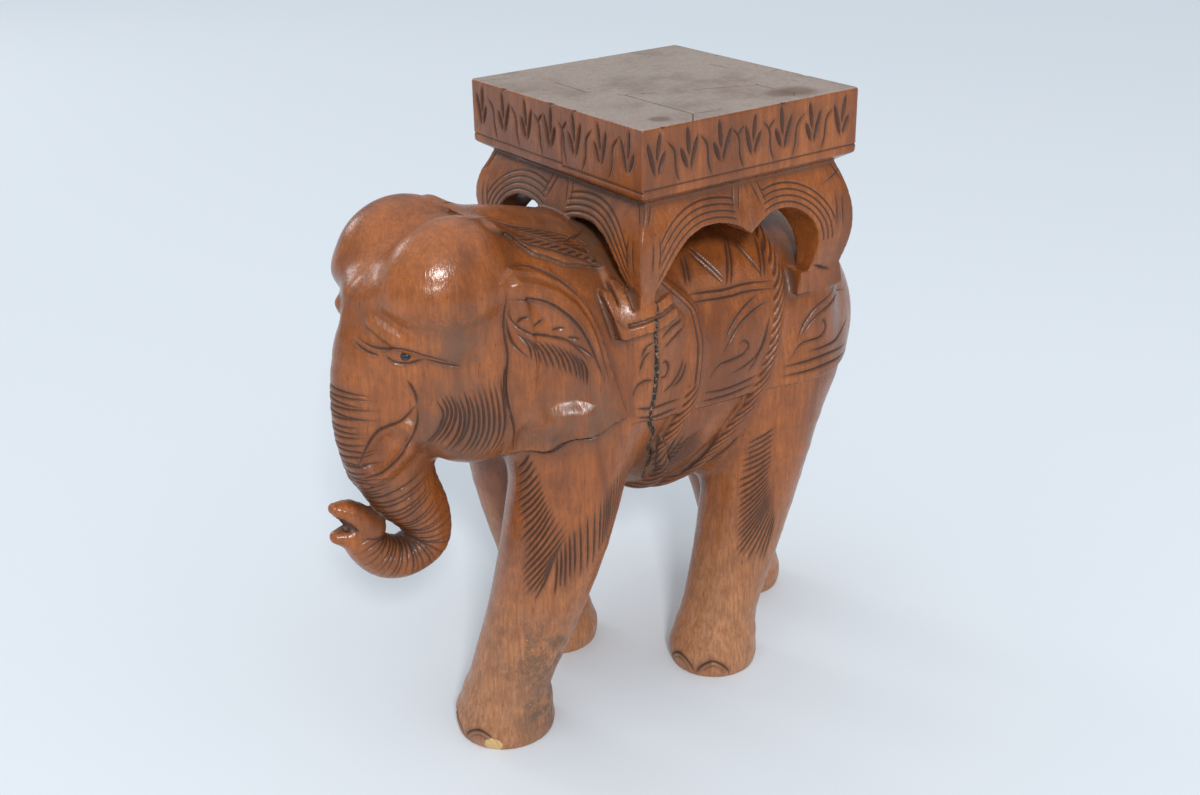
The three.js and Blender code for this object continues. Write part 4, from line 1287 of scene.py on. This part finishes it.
def add_piece(name, points, faces, normals, marks):
    """A closed mesh object from one share of the block's faces: its vertices are renumbered, each open loop
    gets a fan to its mean place, and the marks become attributes."""
    used, renumbered = np.unique(faces, return_inverse=True)
    faces = renumbered.reshape(faces.shape)
    points, normals = points[used], normals[used]
    marks = {key: mark[used] for key, mark in marks.items()}
    for loop in boundary_loops(faces):
        middle = len(points)
        points = np.vstack([points, points[loop].mean(0)])
        normals = np.vstack([normals, normals[loop].mean(0)])
        marks = {key: np.append(mark, mark[loop].mean()) for key, mark in marks.items()}
        fan = [(a, b, middle) for a, b in zip(loop, np.roll(loop, -1))]
        faces = np.vstack([faces, fan])
    mesh = bpy.data.meshes.new(name)
    mesh.vertices.add(len(points))
    mesh.vertices.foreach_set("co", (points * MM + POSE_SHIFT).astype(np.float32).ravel())
    mesh.loops.add(3 * len(faces))
    mesh.loops.foreach_set("vertex_index", faces.astype(np.int32).ravel())
    mesh.polygons.add(len(faces))
    mesh.polygons.foreach_set("loop_start", np.arange(0, 3 * len(faces), 3, dtype=np.int32))
    mesh.update(calc_edges=True)
    mesh.polygons.foreach_set("use_smooth", np.ones(len(faces), bool))
    for key, mark in marks.items():
        mesh.attributes.new(key, "FLOAT", "POINT").data.foreach_set("value", mark.astype(np.float32))
    sizes = np.maximum(np.linalg.norm(normals, axis=1, keepdims=True), 1e-6)
    mesh.normals_split_custom_set_from_vertices((normals / sizes).tolist())
    piece = bpy.data.objects.new(name, mesh)
    bpy.context.scene.collection.objects.link(piece)
    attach(piece, BODY)
    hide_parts(BLOCK)
    print(name, len(points), "vertices", len(faces), "triangles")
    return piece


kinds = region(points)
face_kinds = np.median(kinds[faces], axis=1).astype(int)
block_pieces = [
    add_piece(name, points, faces[face_kinds == kind], vertex_normals, marks)
    for kind, name in enumerate(PIECES)
]

# %% [markdown]
# ## Waxed hardwood
# The finish is one material all over the block: warm brown heartwood with fine upright fibres and broad
# dark streaks, waxed and handled until it shines. Three things change it from place to place. Dust, old
# polish and painted shade darken and dull the hollows and the places under the domes, the top and the belly,
# strokes are dark inside with patina and painted shade, and the feet, the top and the worn foreleg are drier.
# The top's grey also holds a painted sheen, and the crack is painted near black as the shade in its depth.
# The fibres and the dust with its painted shade are node groups, so that each can be tuned by itself.

# %% Helpers for node groups
def new_group(name, inputs, outputs):
    """A shader node group with float inputs, given as name: default, and float or colour outputs."""
    tree = bpy.data.node_groups.new(name, "ShaderNodeTree")
    for socket, value in inputs.items():
        made = tree.interface.new_socket(name=socket, in_out="INPUT", socket_type="NodeSocketFloat")
        made.default_value = value
    for socket, kind in outputs.items():
        tree.interface.new_socket(name=socket, in_out="OUTPUT", socket_type="NodeSocket" + kind)
    return tree, tree.nodes.new("NodeGroupInput"), tree.nodes.new("NodeGroupOutput")


def node(tree, kind, values=None, **settings):
    """A node with its settings, whose inputs are given a value or linked from another node's socket."""
    made = tree.nodes.new("ShaderNode" + kind)
    for key, value in settings.items():
        setattr(made, key, value)
    for key, value in (values or {}).items():
        if isinstance(value, bpy.types.NodeSocket):
            tree.links.new(value, made.inputs[key])
        else:
            made.inputs[key].default_value = value
    return made


def sum_up(tree, operation, a, b=0.5, c=0.5):
    """The result of a Math node."""
    return node(tree, "Math", {0: a, 1: b, 2: c}, operation=operation).outputs[0]


def fade(tree, value, low, high, start=0.0, end=1.0):
    """A value carried smoothly from low..high to start..end, and held outside."""
    return node(
        tree, "MapRange", {"Value": value, 1: low, 2: high, 3: start, 4: end},
        interpolation_type="SMOOTHSTEP").outputs[0]


def noise(tree, place, scale, detail=4.0, roughness=0.55, stretch=(1, 1, 1), warp=0.0):
    """A noise pattern in metres, stretched by a Mapping node first."""
    mapped = node(tree, "Mapping", {"Vector": place, "Scale": stretch}).outputs[0]
    return node(
        tree, "TexNoise",
        {"Vector": mapped, "Scale": scale, "Detail": detail, "Roughness": roughness, "Distortion": warp},
    ).outputs["Fac"]


def object_place(tree):
    """The place on the piece, in metres."""
    return tree.nodes.new("ShaderNodeTexCoord").outputs["Object"]


def tint(tree, amount, below, above):
    """Two colours mixed by an amount, each a colour or a socket."""
    made = node(tree, "Mix", data_type="RGBA")
    for key, value in ((0, amount), (6, below), (7, above)):
        if isinstance(value, bpy.types.NodeSocket):
            tree.links.new(value, made.inputs[key])
        elif key == 0:
            made.inputs[key].default_value = value
        else:
            made.inputs[key].default_value = (*value, 1)
    return made.outputs[2]


# %% The fibres and streaks of the wood
fibres, fibres_in, fibres_out = new_group(
    "upright_fibres", {"Streak contrast": 1.0}, {"Streak": "Float", "Fibre": "Float", "Pores": "Float"})
place = object_place(fibres)
streak = noise(fibres, place, 34, 6, 0.65, (1, 1, 0.16), 0.6)
broad = noise(fibres, place, 9, 3, 0.5, (1, 1, 0.35), 0.4)
both = sum_up(fibres, "ADD", sum_up(fibres, "MULTIPLY", streak, 0.6), sum_up(fibres, "MULTIPLY", broad, 0.4))
centred = sum_up(fibres, "MULTIPLY", sum_up(fibres, "SUBTRACT", both, 0.5), fibres_in.outputs[0])
fibres.links.new(fade(fibres, centred, -0.13, 0.10), fibres_out.inputs["Streak"])
fine = noise(fibres, place, 420, 3, 0.6, (1, 1, 0.07))
fibres.links.new(fade(fibres, fine, 0.3, 0.7), fibres_out.inputs["Fibre"])
dashes = noise(fibres, place, 900, 1, 0.5, (1, 1, 0.09))
fibres.links.new(fade(fibres, dashes, 0.66, 0.74), fibres_out.inputs["Pores"])

# %% Dust and painted shade: how much dust lies on a place, and how much shade is painted in its hollows
dust_and_shade_group, dust_and_shade_in, dust_and_shade_out = new_group("dust_and_hollow_shade", {"Groove": 0.0, "Hollow": 0.0}, {"Dust_and_shade": "Float"})
place = object_place(dust_and_shade_group)
clouds = noise(dust_and_shade_group, place, 26, 5, 0.65)
closed = sum_up(dust_and_shade_group, "MULTIPLY_ADD", dust_and_shade_in.outputs["Hollow"], 1.5, -0.5)
shade = sum_up(dust_and_shade_group, "ADD", closed, sum_up(dust_and_shade_group, "MULTIPLY", clouds, 0.9))
hollow_dust_and_shade = fade(dust_and_shade_group, shade, 0.42, 1.0)
specks = fade(dust_and_shade_group, noise(dust_and_shade_group, place, 500, 2, 0.5), 0.45, 0.62)
lining = sum_up(dust_and_shade_group, "MULTIPLY", sum_up(dust_and_shade_group, "MULTIPLY", dust_and_shade_in.outputs["Groove"], specks), 0.5)
dust_and_shade_group.links.new(sum_up(dust_and_shade_group, "MAXIMUM", hollow_dust_and_shade, lining), dust_and_shade_out.inputs["Dust_and_shade"])


def near_place(tree, place, centre, reach):
    """1 at a place in the pose's millimetres, fading to 0 at reach from it."""
    middle = tuple(np.array(centre) * MM + POSE_SHIFT)
    away = node(tree, "VectorMath", {0: place, 1: middle}, operation="DISTANCE").outputs["Value"]
    return fade(tree, away, reach * MM, 0.35 * reach * MM)


# %% The wood itself
HEART = (0.40, 0.118, 0.026)
DARK_STREAK = (0.180, 0.050, 0.013)
PALE_WOOD = (0.52, 0.245, 0.115)
# A grey-brown for dust, which also serves as painted shade.
DUST_AND_SHADE = (0.128, 0.074, 0.048)
GROOVE_SHADE_DARK = (0.034, 0.014, 0.008)
SOIL_AND_SHADE = (0.110, 0.036, 0.014)
TOP_GREY_AND_SHEEN = (0.37, 0.305, 0.26)
TOP_STAIN = (0.120, 0.066, 0.042)
TOP_STAINS = (((102, 67, 560), 24), ((98, 51, 560), 20), ((104, -83, 560), 13))
FRESH_CHIP = (0.62, 0.40, 0.17)
CRACK_SHADE = (0.010, 0.005, 0.003)
CRUMB_BROWN = (0.30, 0.17, 0.08)
WORN_PLACES = (((88, -205, 95), 62), ((70, -190, 30), 46))
CHIP_PLACE = ((67, -247, 5), 13)
# Places of dust patches. Most lie where shade falls, under the domes, the slab, the belly and the trunk's
# curl, and are painted shade as much as dust; one dims the glare on the lower ear.
DUST_AND_SHADE_PLACES = (
    ((62, -252, 330), 62), ((-62, -252, 330), 62), ((84, -190, 320), 40), ((-84, -190, 320), 40),
    ((50, -130, 470), 62), ((-50, -130, 470), 62), ((60, -60, 230), 70), ((-60, -60, 230), 80),
    ((-112, -60, 470), 70), ((0, -300, 270), 40), ((112, -165, 325), 42), ((-112, -165, 325), 42),
    ((75, -262, 408), 40), ((-75, -262, 408), 40), ((0, -285, 205), 26), ((70, -190, 40), 60),
)

MARKS = ("groove", "hollow", "crack", "soil")

wood = bpy.data.materials.new("waxed_hardwood")
wood.use_nodes = True
tree = wood.node_tree
shader = tree.nodes["Principled BSDF"]
place = object_place(tree)
height = node(tree, "SeparateXYZ", {0: place}).outputs["Z"]
marks_of = {mark: node(tree, "Attribute", attribute_name=mark).outputs["Fac"] for mark in MARKS}
grain = node(tree, "Group", node_tree=fibres)
dust_and_shade_node = node(tree, "Group", {"Groove": marks_of["groove"], "Hollow": marks_of["hollow"]}, node_tree=dust_and_shade_group)

colour = tint(tree, grain.outputs["Streak"], DARK_STREAK, HEART)
feet = sum_up(tree, "MULTIPLY", fade(tree, height, 0.24, 0.03), 0.85)
colour = tint(tree, feet, colour, PALE_WOOD)
colour = tint(tree, sum_up(tree, "MULTIPLY", grain.outputs["Fibre"], 0.5), colour, DARK_STREAK)
colour = tint(tree, sum_up(tree, "MULTIPLY", grain.outputs["Pores"], 0.55), colour, GROOVE_SHADE_DARK)

mottle = fade(tree, noise(tree, place, 70, 6, 0.75), 0.35, 0.72)
colour = tint(tree, sum_up(tree, "MULTIPLY", mottle, 0.35), colour, SOIL_AND_SHADE)
# The dust colour goes into the hollows and on the listed places: real dust, and painted shade where the wood
# is closed in or lies under things.
dust_and_shade = dust_and_shade_node.outputs["Dust_and_shade"]
for centre, reach in DUST_AND_SHADE_PLACES:
    dust_and_shade_patch = sum_up(tree, "MULTIPLY", near_place(tree, place, centre, reach), 0.85)
    dust_and_shade = sum_up(tree, "MAXIMUM", dust_and_shade, dust_and_shade_patch)
cloudy = fade(tree, noise(tree, place, 45, 5, 0.7), 0.3, 0.62)
clouded_dust_and_shade = sum_up(tree, "MULTIPLY", dust_and_shade, cloudy)
# Closed-in places take the soil colour: a dirt glaze, and painted shade in hollows and under the top's edge.
hollow_glaze_and_shade = sum_up(tree, "MULTIPLY", fade(tree, marks_of["hollow"], 0.06, 0.5), 0.6)
colour = tint(tree, hollow_glaze_and_shade, colour, SOIL_AND_SHADE)
colour = tint(tree, sum_up(tree, "MULTIPLY", clouded_dust_and_shade, 0.72), colour, DUST_AND_SHADE)
# Strokes are dark inside: dark patina in the cuts, and painted shade in their depth.
inside = sum_up(tree, "MULTIPLY", fade(tree, marks_of["groove"], 0.12, 0.85), 0.82)
bare = sum_up(tree, "MULTIPLY_ADD", dust_and_shade_node.outputs["Dust_and_shade"], -0.35, 1.0)
inside = sum_up(tree, "MULTIPLY", inside, bare)
colour = tint(tree, sum_up(tree, "MULTIPLY", marks_of["soil"], 0.4), colour, SOIL_AND_SHADE)
colour = tint(tree, inside, colour, GROOVE_SHADE_DARK)

# %% The dry top with its painted sheen, the worn foreleg, the chip and the crack with its painted shade
normal = tree.nodes.new("ShaderNodeNewGeometry").outputs["Normal"]
facing = node(tree, "SeparateXYZ", {0: normal}).outputs["Z"]
on_top = sum_up(tree, "MULTIPLY", fade(tree, height, 0.5588, 0.5596), fade(tree, facing, 0.6, 0.9))
stains = fade(tree, noise(tree, place, 14, 6, 0.7), 0.42, 0.72)
# The top is dry greyish wood, and its grey is lightened further by a painted sheen: the glare of light across
# the top, painted into its colour.
top_colour_and_sheen = tint(tree, sum_up(tree, "MULTIPLY", stains, 0.55), TOP_GREY_AND_SHEEN, TOP_STAIN)
for centre, reach in TOP_STAINS:
    spread = sum_up(tree, "MULTIPLY", near_place(tree, place, centre, reach), 0.75)
    top_colour_and_sheen = tint(tree, spread, top_colour_and_sheen, TOP_STAIN)
top_colour_and_sheen = tint(tree, sum_up(tree, "MULTIPLY", grain.outputs["Fibre"], 0.3), top_colour_and_sheen, DUST_AND_SHADE)
net = node(tree, "TexVoronoi", {"Vector": place, "Scale": 7.0}, feature="DISTANCE_TO_EDGE")
hairline = fade(tree, net.outputs["Distance"], 0.006, 0.001)
broken = fade(tree, noise(tree, place, 20, 3, 0.5), 0.5, 0.56)
top_colour_and_sheen = tint(tree, sum_up(tree, "MULTIPLY", hairline, broken), top_colour_and_sheen, GROOVE_SHADE_DARK)
colour = tint(tree, sum_up(tree, "MULTIPLY", on_top, 0.92), colour, top_colour_and_sheen)

worn = near_place(tree, place, *WORN_PLACES[0])
worn = sum_up(tree, "MAXIMUM", worn, near_place(tree, place, *WORN_PLACES[1]))
worn = sum_up(tree, "MULTIPLY", worn, fade(tree, noise(tree, place, 55, 5, 0.75), 0.42, 0.6))
colour = tint(tree, sum_up(tree, "MULTIPLY", worn, 0.7), colour, DUST_AND_SHADE)
spots = node(tree, "TexVoronoi", {"Vector": place, "Scale": 260.0})
flecks = fade(tree, spots.outputs["Distance"], 0.22, 0.1)
flecks = sum_up(tree, "MULTIPLY", flecks, fade(tree, noise(tree, place, 170, 2, 0.5), 0.52, 0.6))
colour = tint(tree, sum_up(tree, "MULTIPLY", flecks, worn), colour, FRESH_CHIP)
chip = near_place(tree, place, *CHIP_PLACE)
chip = fade(tree, sum_up(tree, "MULTIPLY", chip, noise(tree, place, 190, 4, 0.7)), 0.2, 0.34)
colour = tint(tree, chip, colour, FRESH_CHIP)
# The crack is painted near black, the shade in its depth, with brown crumbs of wood standing in it.
crumbly = fade(tree, noise(tree, place, 420, 3, 0.7), 0.52, 0.64)
crack_shade_and_crumbs = tint(tree, crumbly, CRACK_SHADE, CRUMB_BROWN)
colour = tint(tree, fade(tree, marks_of["crack"], 0.15, 0.5), colour, crack_shade_and_crumbs)

# %% Shine and relief
dull = sum_up(tree, "MAXIMUM", sum_up(tree, "MULTIPLY", clouded_dust_and_shade, 0.8), marks_of["groove"])
dull = sum_up(tree, "MAXIMUM", dull, sum_up(tree, "MULTIPLY", on_top, 0.65))
dull = sum_up(tree, "MAXIMUM", dull, worn)
dull = sum_up(tree, "MAXIMUM", dull, sum_up(tree, "MULTIPLY", feet, 0.45))
smears = fade(tree, noise(tree, place, 38, 4, 0.6), 0.3, 0.7, 0.19, 0.36)
roughness = sum_up(tree, "MULTIPLY_ADD", dull, 0.34, smears)
relief = sum_up(tree, "MULTIPLY", noise(tree, place, 120, 3), 0.9)
relief = sum_up(tree, "MULTIPLY_ADD", grain.outputs["Fibre"], 0.45, relief)
relief = sum_up(tree, "MULTIPLY_ADD", grain.outputs["Pores"], -0.5, relief)
pitted = sum_up(tree, "MULTIPLY", worn, noise(tree, place, 330, 3, 0.7))
relief = sum_up(tree, "MULTIPLY_ADD", pitted, 2.5, relief)
bump = node(tree, "Bump", {"Height": relief, "Strength": 0.5, "Distance": 0.0005})
tree.links.new(colour, shader.inputs["Base Color"])
tree.links.new(roughness, shader.inputs["Roughness"])
tree.links.new(bump.outputs[0], shader.inputs["Normal"])
shader.inputs["Specular IOR Level"].default_value = 0.42
shader.inputs["Coat Weight"].default_value = 0.1
shader.inputs["Coat Roughness"].default_value = 0.16
for piece in block_pieces:
    piece.data.materials.append(wood)
print("wood nodes", len(tree.nodes))

# %% [markdown]
# ## Glass-dark beads for eyes
# Each eye is a separate dark bead with a hard gloss. The CAD solid has the right shape already, so it
# stays and only gets a finish: nearly black, with a faint blue cloud under a clear coat, the cloud a painted
# reflection of the pale blue surroundings.

# %% Eye beads
BEAD_BLACK = (0.004, 0.005, 0.008)
BEAD_PAINTED_REFLECTION_BLUE = (0.022, 0.028, 0.042)
bead_finish = bpy.data.materials.new("dark_bead")
bead_finish.use_nodes = True
tree = bead_finish.node_tree
shader = tree.nodes["Principled BSDF"]
# The blue cloud is a painted reflection of the pale blue surroundings; the same noise varies the roughness.
reflection_cloud = noise(tree, object_place(tree), 400, 3)
tree.links.new(tint(tree, reflection_cloud, BEAD_BLACK, BEAD_PAINTED_REFLECTION_BLUE), shader.inputs["Base Color"])
tree.links.new(fade(tree, reflection_cloud, 0.3, 0.7, 0.08, 0.16), shader.inputs["Roughness"])
shader.inputs["Coat Weight"].default_value = 0.6
shader.inputs["Coat Roughness"].default_value = 0.05
for bead in BEADS:
    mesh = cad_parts[bead].data
    mesh.materials.clear()
    mesh.materials.append(bead_finish)

# %% [markdown]
# ## Camera
# The photograph was taken from the elephant's left and front, from above, with a short telephoto lens.
# The camera stands where the corners of the top, the feet and the head all fall on their places.

# %% Camera
CAMERA_RIGHT = Vector((0.59057949, 0.80677368, -0.01822358))
CAMERA_UP = Vector((-0.31988542, 0.25477757, 0.91255778))
CAMERA_PLACE = Vector((1026.87, -810.76, 844.98)) * MM + Vector(POSE_SHIFT)
camera_data = bpy.data.cameras.new("camera")
camera_data.lens = 45
camera_data.sensor_width = 36
camera = bpy.data.objects.new("camera", camera_data)
bpy.context.scene.collection.objects.link(camera)
turned = Matrix((CAMERA_RIGHT, CAMERA_UP, CAMERA_RIGHT.cross(CAMERA_UP))).transposed()
camera.matrix_world = Matrix.Translation(CAMERA_PLACE) @ turned.to_4x4()
bpy.context.scene.camera = camera
bpy.context.scene.view_settings.view_transform = "Standard"

# %% [markdown]
# ## A pale sweep and soft light
# The piece stands on a pale blue-grey sweep. A soft light from the right makes the round highlight on the
# dome, a weaker one rims the trunk from the left, and a sky that is bright overhead and dim at the horizon
# fills the rest, so that the wood keeps its colour. The sweep is wide, so that its end, which only a low
# view shows, lies far behind the piece.

# %% Floor and light
FLOOR_REACH = 60.0
PAPER_BLUE = (0.73, 0.77, 0.81, 1)
SKY_BLUE = (0.86, 0.91, 0.96, 1)
floor_mesh = bpy.data.meshes.new("floor")
floor_corners = [(a * FLOOR_REACH, b * FLOOR_REACH, 0) for a, b in ((-1, -1), (1, -1), (1, 1), (-1, 1))]
floor_mesh.from_pydata(floor_corners, [], [(0, 1, 2, 3)])
floor = bpy.data.objects.new("floor", floor_mesh)
bpy.context.scene.collection.objects.link(floor)
paper = bpy.data.materials.new("pale_sweep")
paper.use_nodes = True
paper_shader = paper.node_tree.nodes["Principled BSDF"]
paper_shader.inputs["Base Color"].default_value = PAPER_BLUE
paper_shader.inputs["Roughness"].default_value = 0.9
paper_shader.inputs["Specular IOR Level"].default_value = 0.1
floor_mesh.materials.append(paper)

HORIZON_LIGHT = 0.25
HAZE_LIGHT = 0.72
ZENITH_LIGHT = 1.15
world = bpy.data.worlds.new("studio")
bpy.context.scene.world = world
world.use_nodes = True
sky = world.node_tree
sky.nodes["Background"].inputs[0].default_value = SKY_BLUE
upward = node(sky, "SeparateXYZ", {0: sky.nodes.new("ShaderNodeTexCoord").outputs["Generated"]}).outputs["Z"]
dome_light = fade(sky, upward, 0.0, 1.0, HORIZON_LIGHT, ZENITH_LIGHT)
haze = fade(sky, upward, 0.16, 0.04, 0.0, HAZE_LIGHT)
sky.links.new(sum_up(sky, "MAXIMUM", dome_light, haze), sky.nodes["Background"].inputs[1])


def softbox(name, place, target, size, power):
    """A square lamp at a place, turned to face a target."""
    data = bpy.data.lights.new(name, "AREA")
    data.shape = "SQUARE"
    data.size = size
    data.energy = power
    lamp = bpy.data.objects.new(name, data)
    bpy.context.scene.collection.objects.link(lamp)
    lamp.location = place
    lamp.rotation_euler = (Vector(target) - Vector(place)).to_track_quat("-Z", "Y").to_euler()


softbox("key", (3.9, -2.1, 3.0), (0, -0.1, 0.4), 0.6, 145)
softbox("left", (-4.4, -1.2, 2.2), (0, -0.2, 0.4), 1.2, 24)
